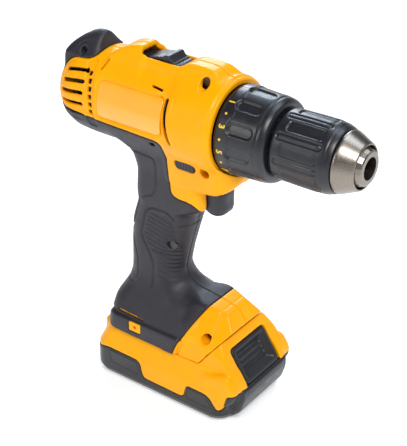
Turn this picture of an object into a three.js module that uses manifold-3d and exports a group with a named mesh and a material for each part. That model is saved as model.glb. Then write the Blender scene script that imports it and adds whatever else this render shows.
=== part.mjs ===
// Cordless drill driver with a slide-on battery pack. Units are millimetres.
// The origin is on the ground under the middle of the battery, +X points to the chuck,
// +Y to the tool's left side and +Z up. The motor, gearbox and chuck share one axis along X.
import * as THREE from 'three';
import { mergeVertices } from 'three/addons/utils/BufferGeometryUtils.js';
import Module from 'manifold-3d';

const wasm = await Module();
wasm.setup();

// ---- driving dimensions ----
const AXIS_Z = 201.4; // height of the motor and chuck axis
const GAP = 0.3; // clearance between neighbouring pieces
const FAR = 400; // larger than the whole tool
const ROUND = 18; // sides on a large round piece
const SMALL_ROUND = 10; // sides on a small round piece

const BARREL_REAR = -87.3;
const BARREL_FRONT = 43.2;
const OVERMOULD = 2; // thickness of the soft grip layer

const BATTERY = { rear: -53.2, front: 58, halfWidth: 36.5, trayTop: 13, shoulder: 21, top: 38 };
const FOOT_BOTTOM = BATTERY.top + GAP;
const SEAM_LOW = new THREE.Vector2(34.9, BATTERY.top); // foot and battery part along this line
const SEAM_HIGH = new THREE.Vector2(52.7, 61.4);

const SUN_TEETH = 15;
const PLANET_TEETH = 12;
const RING_TEETH = 39;
const MODULE_SIZE = 1;
const STAGES = 2;
const PLANETS = 3;
const STAGE_START = 0.8; // x where the first planets begin
const STAGE_PITCH = 16.5;
const PLANET_WIDTH = 8;

const CHUCK_REAR = 80;
const CHUCK_FACE = 134.8;
const JAW_ANGLE = THREE.MathUtils.degToRad(13);
const JAW_TIP_X = 119; // front of the jaws at rest
const JAW_TIP_RADIUS = 6.2; // distance of a jaw's own axis from the spindle axis at its tip
const JAW_RADIUS = 3.1;
const JAW_LENGTH = 29;
const JAW_GRIP_RADIUS = 5; // the jaws hold a 10 mm shank at rest

// ---- solids ----
function closed(geometry) {
  // Merged, outward-facing copy of a closed geometry, without triangles of no area.
  let body = geometry.index ? geometry.toNonIndexed() : geometry.clone();
  for (const name of Object.keys(body.attributes)) {
    if (name !== 'position') body.deleteAttribute(name);
  }
  body = mergeVertices(body, 1e-4);
  const index = body.index.array;
  const position = body.attributes.position;
  const kept = [];
  let volume = 0;
  const a = new THREE.Vector3();
  const b = new THREE.Vector3();
  const c = new THREE.Vector3();
  for (let i = 0; i < index.length; i += 3) {
    const [p, q, r] = [index[i], index[i + 1], index[i + 2]];
    if (p === q || q === r || r === p) continue;
    kept.push(p, q, r);
    a.fromBufferAttribute(position, p);
    b.fromBufferAttribute(position, q);
    c.fromBufferAttribute(position, r);
    volume += a.dot(b.cross(c));
  }
  if (volume < 0) kept.reverse();
  body.setIndex(kept);
  return body;
}

function solid(geometry) {
  const body = closed(geometry);
  return new wasm.Manifold(new wasm.Mesh({
    numProp: 3,
    vertProperties: new Float32Array(body.attributes.position.array),
    triVerts: new Uint32Array(body.index.array),
  }));
}

function geometryOf(manifold) {
  const mesh = manifold.getMesh();
  const geometry = new THREE.BufferGeometry();
  geometry.setAttribute('position', new THREE.BufferAttribute(mesh.vertProperties, 3));
  geometry.setIndex(new THREE.BufferAttribute(mesh.triVerts, 1));
  return geometry;
}

function joined(...parts) {
  return parts.reduce((whole, part) => whole.add(part));
}

function cut(whole, ...tools) {
  return tools.reduce((rest, tool) => rest.subtract(tool), whole);
}

function box(low, high) {
  const size = high.map((value, i) => value - low[i]);
  const geometry = new THREE.BoxGeometry(...size);
  geometry.translate(...low.map((value, i) => value + size[i] / 2));
  return solid(geometry);
}

function shapeOf(points) {
  return new THREE.Shape(points.map(([x, y]) => new THREE.Vector2(x, y)));
}

// Outline of [x, z] points, swept across the tool from y = low to y = high.
function slab(outline, low, high, bevel = 0) {
  const geometry = new THREE.ExtrudeGeometry(shapeOf(outline), {
    depth: high - low - 2 * bevel,
    bevelEnabled: bevel > 0,
    bevelThickness: bevel,
    bevelSize: bevel,
    bevelOffset: -bevel,
    bevelSegments: 1,
    curveSegments: 6,
  });
  geometry.rotateX(Math.PI / 2);
  geometry.translate(0, high - bevel, 0);
  return solid(geometry);
}

// Outline of [y, z] points about the main axis, swept from x = low to x = high.
function prism(outline, low, high, holes = []) {
  const turned = outline.map(([y, z]) => [-z, y]);
  const shape = shapeOf(turned);
  shape.holes = holes.map((hole) => new THREE.Path(hole.map(([y, z]) => new THREE.Vector2(-z, y))));
  const geometry = new THREE.ExtrudeGeometry(shape, { depth: high - low, bevelEnabled: false });
  geometry.rotateY(Math.PI / 2);
  geometry.translate(low, 0, AXIS_Z);
  return solid(geometry);
}

function circle(radius, sides, y = 0, z = 0, start = 0) {
  return Array.from({ length: sides }, (_, i) => {
    const angle = start + (2 * Math.PI * i) / sides;
    return [y + radius * Math.cos(angle), z + radius * Math.sin(angle)];
  });
}

// Profile of [x, radius] points turned about the main axis; it starts and ends on the axis
// or closes on itself.
function turned(profile, sides = ROUND) {
  const points = profile.map(([x, radius]) => new THREE.Vector2(radius, x));
  const onAxis = profile[0][1] === 0 && profile.at(-1)[1] === 0;
  if (!onAxis) points.push(points[0].clone());
  const geometry = new THREE.LatheGeometry(points, sides);
  geometry.rotateZ(-Math.PI / 2);
  geometry.translate(0, 0, AXIS_Z);
  return solid(geometry);
}

function ring(xLow, xHigh, inner, outer, sides = ROUND) {
  return turned([[xLow, inner], [xLow, outer], [xHigh, outer], [xHigh, inner]], sides);
}

function rod(xLow, xHigh, radius, sides = SMALL_ROUND) {
  return turned([[xLow, 0], [xLow, radius], [xHigh, radius], [xHigh, 0]], sides);
}

// Round bar along Y at (x, z).
function crossBar(x, z, yLow, yHigh, radius, sides = SMALL_ROUND) {
  const geometry = new THREE.CylinderGeometry(radius, radius, yHigh - yLow, sides);
  geometry.translate(x, (yLow + yHigh) / 2, z);
  return solid(geometry);
}

// Tube along a list of points.
function tube(points, radius, steps, sides) {
  const path = new THREE.CatmullRomCurve3(points.map((point) => new THREE.Vector3(...point)));
  const section = shapeOf(circle(radius, sides));
  const geometry = new THREE.ExtrudeGeometry(section, { steps, extrudePath: path });
  return solid(geometry);
}

// Rounded rectangle from x = low to high and y = -half to half, as a ring of points.
function roundedRectangle(low, high, half, radius, perCorner = 3) {
  const corners = [
    [high - radius, half - radius, 0],
    [low + radius, half - radius, 1],
    [low + radius, -half + radius, 2],
    [high - radius, -half + radius, 3],
  ];
  const points = [];
  for (const [x, y, quarter] of corners) {
    for (let i = 0; i < perCorner; i += 1) {
      const angle = (quarter + i / (perCorner - 1)) * (Math.PI / 2);
      points.push([x + radius * Math.cos(angle), y + radius * Math.sin(angle)]);
    }
  }
  return points;
}

// Solid through level rounded rectangles, each [z, xLow, xHigh, halfWidth, cornerRadius].
function loft(sections, inset = 0) {
  const rings = sections.map(([z, low, high, half, radius]) => {
    const corner = Math.max(radius - inset, 0.8);
    return roundedRectangle(low + inset, high - inset, half - inset, corner)
      .map(([x, y]) => [x, y, z]);
  });
  const count = rings[0].length;
  const positions = rings.flat(2);
  const index = [];
  for (let row = 0; row + 1 < rings.length; row += 1) {
    for (let i = 0; i < count; i += 1) {
      const a = row * count + i;
      const b = row * count + ((i + 1) % count);
      index.push(a, b, b + count, a, b + count, a + count);
    }
  }
  const last = (rings.length - 1) * count;
  for (let i = 1; i + 1 < count; i += 1) {
    index.push(0, i + 1, i, last, last + i, last + i + 1);
  }
  const geometry = new THREE.BufferGeometry();
  geometry.setAttribute('position', new THREE.Float32BufferAttribute(positions, 3));
  geometry.setIndex(index);
  return solid(geometry);
}

// ---- model tree ----
const drill = new THREE.Group();

const FINISH = {
  yellow: { color: 0xf5a800, roughness: 0.42, metalness: 0 },
  grip: { color: 0x3a3a40, roughness: 0.75, metalness: 0 },
  black: { color: 0x1d1e21, roughness: 0.5, metalness: 0 },
  steel: { color: 0x9a9690, roughness: 0.32, metalness: 1 },
  darkSteel: { color: 0x55565a, roughness: 0.45, metalness: 1 },
  brass: { color: 0xc09a4a, roughness: 0.35, metalness: 1 },
  clear: { color: 0xe8ecf0, roughness: 0.1, metalness: 0 },
  board: { color: 0x1f5a38, roughness: 0.6, metalness: 0 },
  cell: { color: 0x3f7fa8, roughness: 0.5, metalness: 0 },
};

function add(name, manifold, finish) {
  const mesh = new THREE.Mesh(geometryOf(manifold), new THREE.MeshStandardMaterial(FINISH[finish]));
  mesh.name = name;
  drill.add(mesh);
}

// ---- outer form of the tool, shrunk by an inset ----
function barrelForm(inset) {
  const rear = BARREL_REAR + inset;
  const front = BARREL_FRONT;
  const profile = [
    [rear, 0], [rear, 9], [-84.6, 20], [-78, 26.6], [-68, 29.4],
    [7, 30], [10, 31.6], [40.6, 32.3], [front, 30.6], [front, 0],
  ];
  return turned(profile.map(([x, radius]) => [x, radius === 0 ? 0 : radius - inset]));
}

// Handle and flared foot: level sections from the battery seat up into the barrel.
const HANDLE_SECTIONS = [
  [FOOT_BOTTOM, -45.5, 38, 32, 9],
  [51, -46.2, 47, 32, 9],
  [59, -46.2, 53, 28.5, 9],
  [73, -42.6, 34, 17.2, 8],
  [80, -41.2, 18, 16.8, 9],
  [87, -41, 4.5, 16.8, 11],
  [119, -37.6, 11.3, 17, 12],
  [136, -34.2, 15.5, 17.3, 12],
  [142, -33, 21.5, 17.8, 9],
  [172, -38, 24, 20.8, 9],
  [182, -46, 30, 21.2, 9],
  [190, -58, 36, 21.5, 9],
];

const NOSE_OUTLINE = [
  [0, 190], [0, 158], [24, 157], [38, 158.5], [46.5, 163], [51.5, 169], [50, 178], [42, 190],
];

// The top ridge: low beside the selector, with a hood behind it and a plateau ahead of it.
const RIDGE_OUTLINE = [[-50, 222], [-44, 231.6], [-24, 235.4], [8, 235], [36, 232.4], [40, 222]];
const HOOD_OUTLINE = [
  [-48, 222], [-47, 230], [-41.5, 235.6], [-36, 238.2], [-30, 240], [-25.5, 240.6], [-21.6, 239],
  [-19.5, 235], [-19.5, 222],
];
const PLATEAU_OUTLINE = [[5, 222], [6.6, 234.6], [13, 238], [25, 238], [31.5, 237.2], [36, 233], [38, 222]];
const BUMP_OUTLINE = [
  [-86, 205], [-86.2, 214], [-84.8, 223], [-81.6, 230.4], [-74, 236], [-64, 239.8], [-59, 240.4],
  [-56, 238.4], [-54.6, 233], [-54.6, 222], [-66, 205],
];

function toolForm(inset) {
  const shrink = (outline, half, bevel) => slab(outline, -half + inset, half - inset, bevel);
  return joined(
    barrelForm(inset),
    loft(HANDLE_SECTIONS, inset),
    shrink(NOSE_OUTLINE, 19.5, 3),
    shrink(RIDGE_OUTLINE, 11, 2.4),
    shrink(HOOD_OUTLINE, 10, 2.4),
    shrink(PLATEAU_OUTLINE, 10, 2.4),
    slab(grown(BUMP_OUTLINE, -inset), inset - 12, 12 - inset, 2),
  );
}

// The soft layer covers these areas of the side view, as [x, z] outlines.
const GRIP_ZONE = [
  [-FAR, 194], [-80, 193.6], [-56, 192.2], [4.6, 190.6], [4.6, 183], [3.2, 165], [3.2, 154.5],
  [8, 149.4], [16, 148.6], [21, 146.4], [25, 138], [FAR, 137], [FAR, 74], [34, 74], [20.5, 48],
  [14, FOOT_BOTTOM - 2], [-FAR, FOOT_BOTTOM - 2],
];
const BUMPER_ZONE = [
  [-FAR, FAR], [-56, FAR], [-56, 228.5], [-61, 225.8], [-72.5, 225.2], [-80, 219.6],
  [-85.4, 208], [-85.4, 195], [-FAR, 195],
];

// Outline pushed outwards by a distance; the outline runs clockwise in the side view.
function grown(outline, distance) {
  return outline.map((point, i) => {
    const before = outline.at(i - 1);
    const after = outline[(i + 1) % outline.length];
    const normal = (p, q) => {
      const edge = new THREE.Vector2(q[0] - p[0], q[1] - p[1]).normalize();
      return new THREE.Vector2(-edge.y, edge.x);
    };
    const sum = normal(before, point).add(normal(point, after));
    const scale = (2 * distance) / Math.max(sum.lengthSq(), 0.5);
    return [point[0] + sum.x * scale, point[1] + sum.y * scale];
  });
}

// ---- inside of the housing ----
const SCREWS = {
  // name: [x, z, y of the seat under the head, y of the tip]
  screw_rear: [-67.5, 229, -8, 9],
  screw_ridge_front: [27.8, 230.5, -8, 8],
  screw_nose: [33, 175.4, -13, 9],
  screw_handle: [1, 109.2, -10, 9],
  screw_foot: [38, 56.4, -17, 12],
};
const SCREW_HEAD_RADIUS = 3.4;
const SCREW_SHANK_RADIUS = 2;
const SCREW_HEAD_HEIGHT = 2.6;
const BOSS_RADIUS = 4.2;

const BUTTON = { x: 18.2, z: 175.9, halfLength: 7.5, halfHeight: 3 }; // forward and reverse
const TRIGGER_OUTLINE = [
  [14, 160.2], [25, 161], [34, 159.4], [38.8, 154.5], [37.4, 147], [34.6, 139], [31, 133.6],
  [26, 134.8], [21.2, 139], [14, 141],
];
const LED = { x: 47.4, z: 166.4, radius: 2.6, tilt: 0.7 };

function oval(x, z, halfLength, halfHeight, yLow, yHigh) {
  const flat = halfLength - halfHeight;
  return joined(
    box([x - flat, yLow, z - halfHeight], [x + flat, yHigh, z + halfHeight]),
    crossBar(x - flat, z, yLow, yHigh, halfHeight),
    crossBar(x + flat, z, yLow, yHigh, halfHeight),
  );
}

function barrelCavity() {
  // Ribs hold the motor can at two places and the gearbox at one.
  const rib = (start, end, radius, wide) => [[start, wide], [start, radius], [end, radius], [end, wide]];
  return turned([
    [-83.6, 0], [-83.6, 14], [-74, 24.4],
    ...rib(-48, -44, 20.9, 27), ...rib(-18, -14, 20.9, 27), ...rib(13, 27, 24.6, 27),
    [FAR, 27], [FAR, 0],
  ]);
}

function housingCavity() {
  const handleRoom = loft(HANDLE_SECTIONS, 4.6).intersect(box([-FAR, -12.5, 58], [14, 12.5, 172]));
  return joined(
    barrelCavity(),
    handleRoom,
    box([6, -14, 163.5], [40, 14, 180]), // over the switch, around the reversing bar
    box([10, -9.6, 133], [41, 9.6, 162]), // trigger
    box([-35, -22, 43.6], [FAR, 22, 51]), // battery rails, open to the front
    box([-35, -18.4, 0], [FAR, 18.4, 44]),
    box([-35.2, -12.6, 43.7], [0, 12.6, 62]),
    oval(BUTTON.x, BUTTON.z, BUTTON.halfLength + GAP, BUTTON.halfHeight + GAP, -FAR, FAR),
    lampBar(LED.radius + GAP, -4, 20),
    box([-29, -8.3, 231.4], [10, 8.3, 234.2]), // the selector's plate
    box([-24.4, -8.3, 231.4], [6.8, 8.3, FAR]), // selector window
    box([-2, -3.6, 226], [8, 3.6, 232]), // selector finger
  );
}

// Round bar along the lamp's own tilted axis; from and to are distances ahead of its middle.
function lampBar(radius, from, to) {
  const geometry = new THREE.CylinderGeometry(radius, radius, to - from, SMALL_ROUND);
  geometry.translate(0, (from + to) / 2, 0);
  geometry.rotateZ(-Math.PI / 2);
  geometry.rotateY(LED.tilt);
  geometry.translate(LED.x, 0, LED.z);
  return solid(geometry);
}

function sideHalf(isRight) {
  return isRight
    ? box([-FAR, -FAR, -FAR], [FAR, -GAP / 2, FAR])
    : box([-FAR, GAP / 2, -FAR], [FAR, FAR, FAR]);
}

// Everything behind the inclined front seam of the foot, up to the nose of the barrel.
function behindSeam(gap) {
  const slope = SEAM_HIGH.clone().sub(SEAM_LOW).normalize();
  const start = SEAM_LOW.clone().addScaledVector(slope, -FAR);
  const end = SEAM_LOW.clone().addScaledVector(slope, FAR);
  const normal = new THREE.Vector2(slope.y, -slope.x).multiplyScalar(FAR);
  const shift = new THREE.Vector2(slope.y, -slope.x).multiplyScalar(-gap);
  const corner = (point, offset) => [point.x + shift.x + offset.x, point.y + shift.y + offset.y];
  const zero = new THREE.Vector2();
  const outline = [corner(start, zero), corner(end, zero), corner(end, normal), corner(start, normal)];
  return slab(outline, -FAR, FAR).intersect(box([-FAR, -FAR, -FAR], [FAR, FAR, 80]));
}

function screwSpace(isRight, grow) {
  const holes = Object.values(SCREWS).map(([x, z, seat, tip]) => {
    if (!isRight) return crossBar(x, z, -FAR, tip + grow, SCREW_SHANK_RADIUS + GAP);
    const counterbore = crossBar(x, z, -FAR, seat + grow, SCREW_HEAD_RADIUS + GAP);
    return counterbore.add(crossBar(x, z, -FAR, FAR, SCREW_SHANK_RADIUS + GAP));
  });
  return joined(...holes);
}

function bosses() {
  const reach = 6; // length of a boss beyond its screw's seat
  return joined(...Object.values(SCREWS).map(([x, z, seat]) => (
    crossBar(x, z, seat - reach, reach - seat, BOSS_RADIUS))));
}

const collarSpace = rod(BARREL_FRONT, FAR, 28.9, ROUND);
const outerForm = cut(toolForm(0), behindSeam(GAP / 2), collarSpace);
const coreForm = toolForm(OVERMOULD).subtract(collarSpace);
const coreSeat = toolForm(OVERMOULD + GAP);
const gripZone = slab(GRIP_ZONE, -FAR, FAR);
const bumperZone = slab(BUMPER_ZONE, -FAR, FAR);
const wideZones = joined(...[GRIP_ZONE, BUMPER_ZONE].map((zone) => slab(grown(zone, GAP), -FAR, FAR)));
const openings = housingCavity();
const HOOK_SEAT = { x: -17.5, z: 46.4, halfLength: 5, halfHeight: 3.6, inner: 29, screwRadius: 1.3 };

// Block outside the foot's wall where the belt hook is fixed.
function hookSeatSpace(side, grow) {
  const halfLength = HOOK_SEAT.halfLength + grow;
  const halfHeight = HOOK_SEAT.halfHeight + grow;
  const inner = HOOK_SEAT.inner - grow;
  const [low, high] = side < 0 ? [-FAR, -inner] : [inner, FAR];
  return box(
    [HOOK_SEAT.x - halfLength, low, HOOK_SEAT.z - halfHeight],
    [HOOK_SEAT.x + halfLength, high, HOOK_SEAT.z + halfHeight],
  );
}

function addHousing() {
  const layer = wideZones.subtract(coreSeat);
  const withBosses = outerForm.subtract(openings).add(bosses().intersect(coreForm))
    .subtract(box([-FAR, -FAR, 0], [FAR, FAR, 52]).intersect(openings));
  const wall = withBosses.subtract(layer);
  for (const [name, isRight, side] of [['right', true, -1], ['left', false, 1]]) {
    const half = sideHalf(isRight);
    const seat = outerForm.intersect(hookSeatSpace(side, 0));
    const screwHole = crossBar(
      HOOK_SEAT.x, HOOK_SEAT.z, ...(side < 0 ? [-FAR, -24] : [24, FAR]), HOOK_SEAT.screwRadius, 8,
    );
    const shell = cut(wall.add(seat).intersect(half), screwSpace(isRight, 0), screwHole);
    const grip = cut(outerForm.intersect(gripZone).subtract(coreForm).intersect(half), openings,
      screwSpace(true, GAP), hookSeatSpace(side, GAP));
    add(`housing_${name}`, shell, 'yellow');
    add(`grip_${name}`, grip, 'grip');
  }
  const bumper = cut(outerForm.intersect(bumperZone).subtract(coreForm), screwSpace(true, GAP));
  add('rear_bumper', bumper, 'grip');
  for (const [name, [x, z, seat, tip]] of Object.entries(SCREWS)) {
    const head = crossBar(x, z, seat - SCREW_HEAD_HEIGHT, seat - GAP, SCREW_HEAD_RADIUS, 12);
    const shank = crossBar(x, z, seat - 1, tip - GAP, SCREW_SHANK_RADIUS, 10);
    add(name, head.add(shank), 'darkSteel');
  }
}

// ---- speed selector, reversing button, trigger, switch and lamp ----
function addControls() {
  const plate = box([-21.6, -7.9, 231.9], [4.6, 7.9, 233.4]);
  const bumpOutline = [
    [-17, 233], [-13, 235.6], [-8.4, 236.2], [-6.4, 238.6], [-3.4, 238.6], [-1.4, 236.2], [3, 233],
  ];
  const bump = slab(bumpOutline, -7.2, 7.2);
  const finger = box([-1.2, -3, 226.8], [1.8, 3, 233]);
  add('selector_slide', joined(plate, bump, finger), 'black');

  const { x, z, halfLength, halfHeight } = BUTTON;
  const ends = [[-21.9, -13], [13, 21.9]].map((reach) => oval(x, z, halfLength, halfHeight, ...reach));
  const bar = box([x - 3, -13.5, z - 2.9], [x + 3, 13.5, z - 0.6]);
  add('forward_reverse_button', joined(bar, ...ends), 'black');

  const body = slab(TRIGGER_OUTLINE, -9, 9, 1.6);
  add('trigger', body, 'grip');
  const pocket = box([3, -9.4, 141], [13.4, 9.4, 162.4]);
  const module = box([-22, -11, 141.6], [12.8, 11, 168]).subtract(pocket);
  add('switch_module', module, 'black');
  add('trigger_spring', coil([3.6, 0, 150], 'x', 9.8, 3.2, 0.6, 4), 'steel');

  add('work_light_lens', lampBar(LED.radius, -3.6, 1), 'clear');
}

// Open coil starting at a point and running along x, or along a given unit direction.
function coil(start, direction, length, radius, wire, turns) {
  const axis = direction === 'x' ? new THREE.Vector3(1, 0, 0) : new THREE.Vector3(...direction).normalize();
  const side = new THREE.Vector3(0, 1, 0);
  const up = axis.clone().cross(side);
  const perTurn = 8;
  const points = [];
  const free = length - 2 * wire;
  for (let i = 0; i <= turns * perTurn; i += 1) {
    const angle = (2 * Math.PI * i) / perTurn;
    const point = new THREE.Vector3(...start)
      .addScaledVector(axis, wire + (free * i) / (turns * perTurn))
      .addScaledVector(side, radius * Math.cos(angle))
      .addScaledVector(up, radius * Math.sin(angle));
    points.push(point.toArray());
  }
  return tube(points, wire, turns * perTurn, 4);
}

// ---- gears ----
// Outline of a gear about its own centre. Teeth are counted from the angle start.
function gearOutline(teeth, start, isInternal = false) {
  const pitch = (teeth * MODULE_SIZE) / 2;
  const tip = isInternal ? pitch - 0.8 : pitch + 0.85;
  const root = isInternal ? pitch + 1.15 : pitch - 1.15;
  const tipHalf = 0.36 / tip;
  const rootHalf = (isInternal ? 0.92 : 0.95) / root;
  const points = [];
  for (let i = 0; i < teeth; i += 1) {
    const centre = start + (2 * Math.PI * i) / teeth;
    for (const [radius, offset] of [[root, -rootHalf], [tip, -tipHalf], [tip, tipHalf], [root, rootHalf]]) {
      points.push([radius * Math.cos(centre + offset), radius * Math.sin(centre + offset)]);
    }
  }
  return points;
}

const RING_OUTER = 22.3;
const CLUTCH_FACE = 30.2; // front of the last ring gear, where the clutch pins press
const SHIFT_GROOVE = STAGE_START + 3.2; // middle of the groove that the shift wire holds
const SHIFT_TRAVEL = 4; // forward travel of the first ring gear into high speed
const PLANET_ORBIT = ((SUN_TEETH + PLANET_TEETH) * MODULE_SIZE) / 2;
const PIN_RADIUS = 1.5;

function stageStart(stage) {
  return STAGE_START + (stage - 1) * STAGE_PITCH;
}

function planetAngle(index) {
  return (2 * Math.PI * index) / PLANETS;
}

function addGears() {
  for (let stage = 1; stage <= STAGES; stage += 1) {
    const start = stageStart(stage);
    const end = stage === STAGES ? CLUTCH_FACE : start + PLANET_WIDTH + 0.2;
    const teeth = gearOutline(RING_TEETH, 0, true);
    let gear = prism(circle(RING_OUTER, 18), start - 0.2, end, [teeth]);
    if (stage === 1) gear = gear.subtract(ring(SHIFT_GROOVE - 1.2, SHIFT_GROOVE + 1.2, 21.3, 30, 12));
    add(`ring_gear_${stage}`, gear, 'steel');
    for (let i = 0; i < PLANETS; i += 1) {
      const angle = planetAngle(i);
      const phase = angle + Math.PI - Math.PI / PLANET_TEETH;
      const centre = [PLANET_ORBIT * Math.cos(angle), PLANET_ORBIT * Math.sin(angle)];
      const outline = gearOutline(PLANET_TEETH, phase).map(([y, z]) => [y + centre[0], z + centre[1]]);
      const bore = circle(PIN_RADIUS + GAP, 8, ...centre);
      add(`planet_${stage}_${i + 1}`, prism(outline, start, start + PLANET_WIDTH, [bore]), 'steel');
    }
    add(`carrier_${stage}`, carrier(stage), 'darkSteel');
  }
}

function carrier(stage) {
  const plateStart = stageStart(stage) + PLANET_WIDTH + GAP;
  const plateEnd = plateStart + (stage === STAGES ? 4 : 2.4);
  const pins = Array.from({ length: PLANETS }, (_, i) => {
    const centre = [PLANET_ORBIT * Math.cos(planetAngle(i)), PLANET_ORBIT * Math.sin(planetAngle(i))];
    return prism(circle(PIN_RADIUS, 8, ...centre), stageStart(stage) + 0.2, plateStart + 1);
  });
  const plate = rod(plateStart, plateEnd, 17.8, 24);
  if (stage === STAGES) {
    return joined(plate, ...pins).subtract(prism(circle(5.4, 6), plateStart - 1, plateEnd + 1));
  }
  const sunEnd = stageStart(stage + 1) + PLANET_WIDTH - 0.4;
  const nextSun = prism(gearOutline(SUN_TEETH, 0), plateEnd - 0.5, sunEnd);
  return joined(plate, nextSun, ...pins);
}

// ---- gearbox, clutch and spindle ----
const GEARBOX = {
  rear: -3, cupRadius: 24.3, frontWall: 33, wallEnd: 36, nose: 15.4, bore: 12.6, noseEnd: 70,
};
const CLUTCH_PINS = 4;
const CLUTCH_PIN_ORBIT = 20.3;

function clutchPins(radius, from, to) {
  return Array.from({ length: CLUTCH_PINS }, (_, i) => {
    const angle = (2 * Math.PI * (i + 0.5)) / CLUTCH_PINS;
    const centre = [CLUTCH_PIN_ORBIT * Math.cos(angle), CLUTCH_PIN_ORBIT * Math.sin(angle)];
    return prism(circle(radius, 8, ...centre), from, to);
  });
}

function addGearbox() {
  const { rear, cupRadius, frontWall, wallEnd, nose, bore, noseEnd } = GEARBOX;
  const cup = turned([
    [0, RING_OUTER + 0.35], [0, cupRadius], [wallEnd, cupRadius], [wallEnd, nose], [noseEnd, nose],
    [noseEnd, bore], [37, bore], [37, 10.5], [frontWall, 10.5], [frontWall, RING_OUTER + 0.35],
  ]);
  const slots = box(
    [SHIFT_GROOVE - 1.2, -30, AXIS_Z - 1.4],
    [SHIFT_GROOVE + SHIFT_TRAVEL + 1.2, 30, AXIS_Z + 1.4],
  );
  const [screwX, screwZ] = SCREWS.screw_nose;
  const scallop = crossBar(screwX, screwZ, -30, 30, BOSS_RADIUS + GAP);
  add('gearbox_housing', cut(cup, ...clutchPins(1.8, 32, 37), slots, scallop), 'black');
  add('gearbox_cover', ring(rear, -0.3, 9.2, cupRadius), 'black');

  const plate = ring(37.6, 39.2, nose + 0.4, 22.2);
  add('clutch_plate', joined(plate, ...clutchPins(1.4, 30.6, 38)), 'steel');
  add('clutch_spring', coil([39.6, 0, AXIS_Z], 'x', 10, 18.8, 1.1, 3), 'darkSteel');
  const lugs = [0, 1, 2].map((i) => turnedBox([50.2, 55.8], 22, 25, 2.4, (2 * Math.PI * i) / 3));
  add('clutch_nut', joined(ring(50.2, 55.8, nose + 0.4, 22.6), ...lugs), 'black');

  const wire = 0.8;
  const arc = Array.from({ length: 9 }, (_, i) => {
    const angle = (Math.PI * i) / 8;
    return [SHIFT_GROOVE, 25.6 * Math.cos(angle), AXIS_Z + 25.6 * Math.sin(angle)];
  });
  const bow = tube(arc, wire, 10, 4);
  const prongs = [[-25.8, -21.7], [21.7, 25.8]].map((reach) => (
    crossBar(SHIFT_GROOVE, AXIS_Z, ...reach, wire, 6)));
  add('shift_wire', joined(bow, ...prongs), 'steel');

  const shaft = turned([[25.8, 0], [25.8, 6.35], [100, 6.35], [100, 2.7], [84, 2.7], [84, 0]], 14);
  const hexEnd = prism(circle(5, 6), 25, 34).add(ring(33.9, FAR, 0.01, 30));
  add('spindle', shaft.intersect(hexEnd.add(rod(33.9, FAR, 30))), 'steel');
  add('bearing_rear', ring(37.4, 43.4, 6.65, 12.3, 14), 'steel');
  add('bearing_front', ring(61, 68.6, 6.65, 12.3, 14), 'steel');
  add('collar_retainer', ring(70.3, 71.8, 9, 18.2, 14), 'darkSteel');
}

// Box between two radii, centred on an angle about the main axis.
function turnedBox([xLow, xHigh], innerRadius, outerRadius, halfWidth, angle) {
  const corners = [
    [innerRadius, -halfWidth], [outerRadius, -halfWidth], [outerRadius, halfWidth], [innerRadius, halfWidth],
  ];
  const points = corners.map(([out, across]) => [
    out * Math.cos(angle) - across * Math.sin(angle),
    out * Math.sin(angle) + across * Math.cos(angle),
  ]);
  return prism(points, xLow, xHigh);
}

// ---- torque collar ----
const PADDLES = 8;

function addCollar() {
  const body = turned([
    [43.7, 24.3], [43.7, 27.2], [44.6, 27.8], [52, 27.8], [52.8, 26], [69, 25.6], [72.4, 25.4],
    [77.6, 24], [77.6, 19.4], [69.9, 19.2], [69.9, 15.9], [66, 15.9], [66, 24.3],
  ], 20);
  const grooves = [0, 1, 2].map((i) => turnedBox([43, 64], 20, 25.4, 2.7, (2 * Math.PI * i) / 3));
  const paddles = Array.from({ length: PADDLES }, (_, i) => (
    turnedBox([54, 69.5], 25.2, 28, 4.6, (2 * Math.PI * (i + 0.5)) / PADDLES)));
  add('torque_ring', cut(joined(body, ...paddles), ...grooves), 'black');
}

// ---- chuck ----
function jawSpace(index, radius, from, to) {
  // Round bar on a jaw's own inclined axis; from and to are distances behind the tip.
  const geometry = new THREE.CylinderGeometry(radius, radius, to - from, 8);
  geometry.translate(0, (from + to) / 2, 0);
  geometry.rotateZ(Math.PI / 2 - JAW_ANGLE);
  geometry.translate(JAW_TIP_X, JAW_TIP_RADIUS, 0);
  geometry.rotateX((2 * Math.PI * index) / 3 + Math.PI / 2);
  geometry.translate(0, 0, AXIS_Z);
  return solid(geometry);
}

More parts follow.
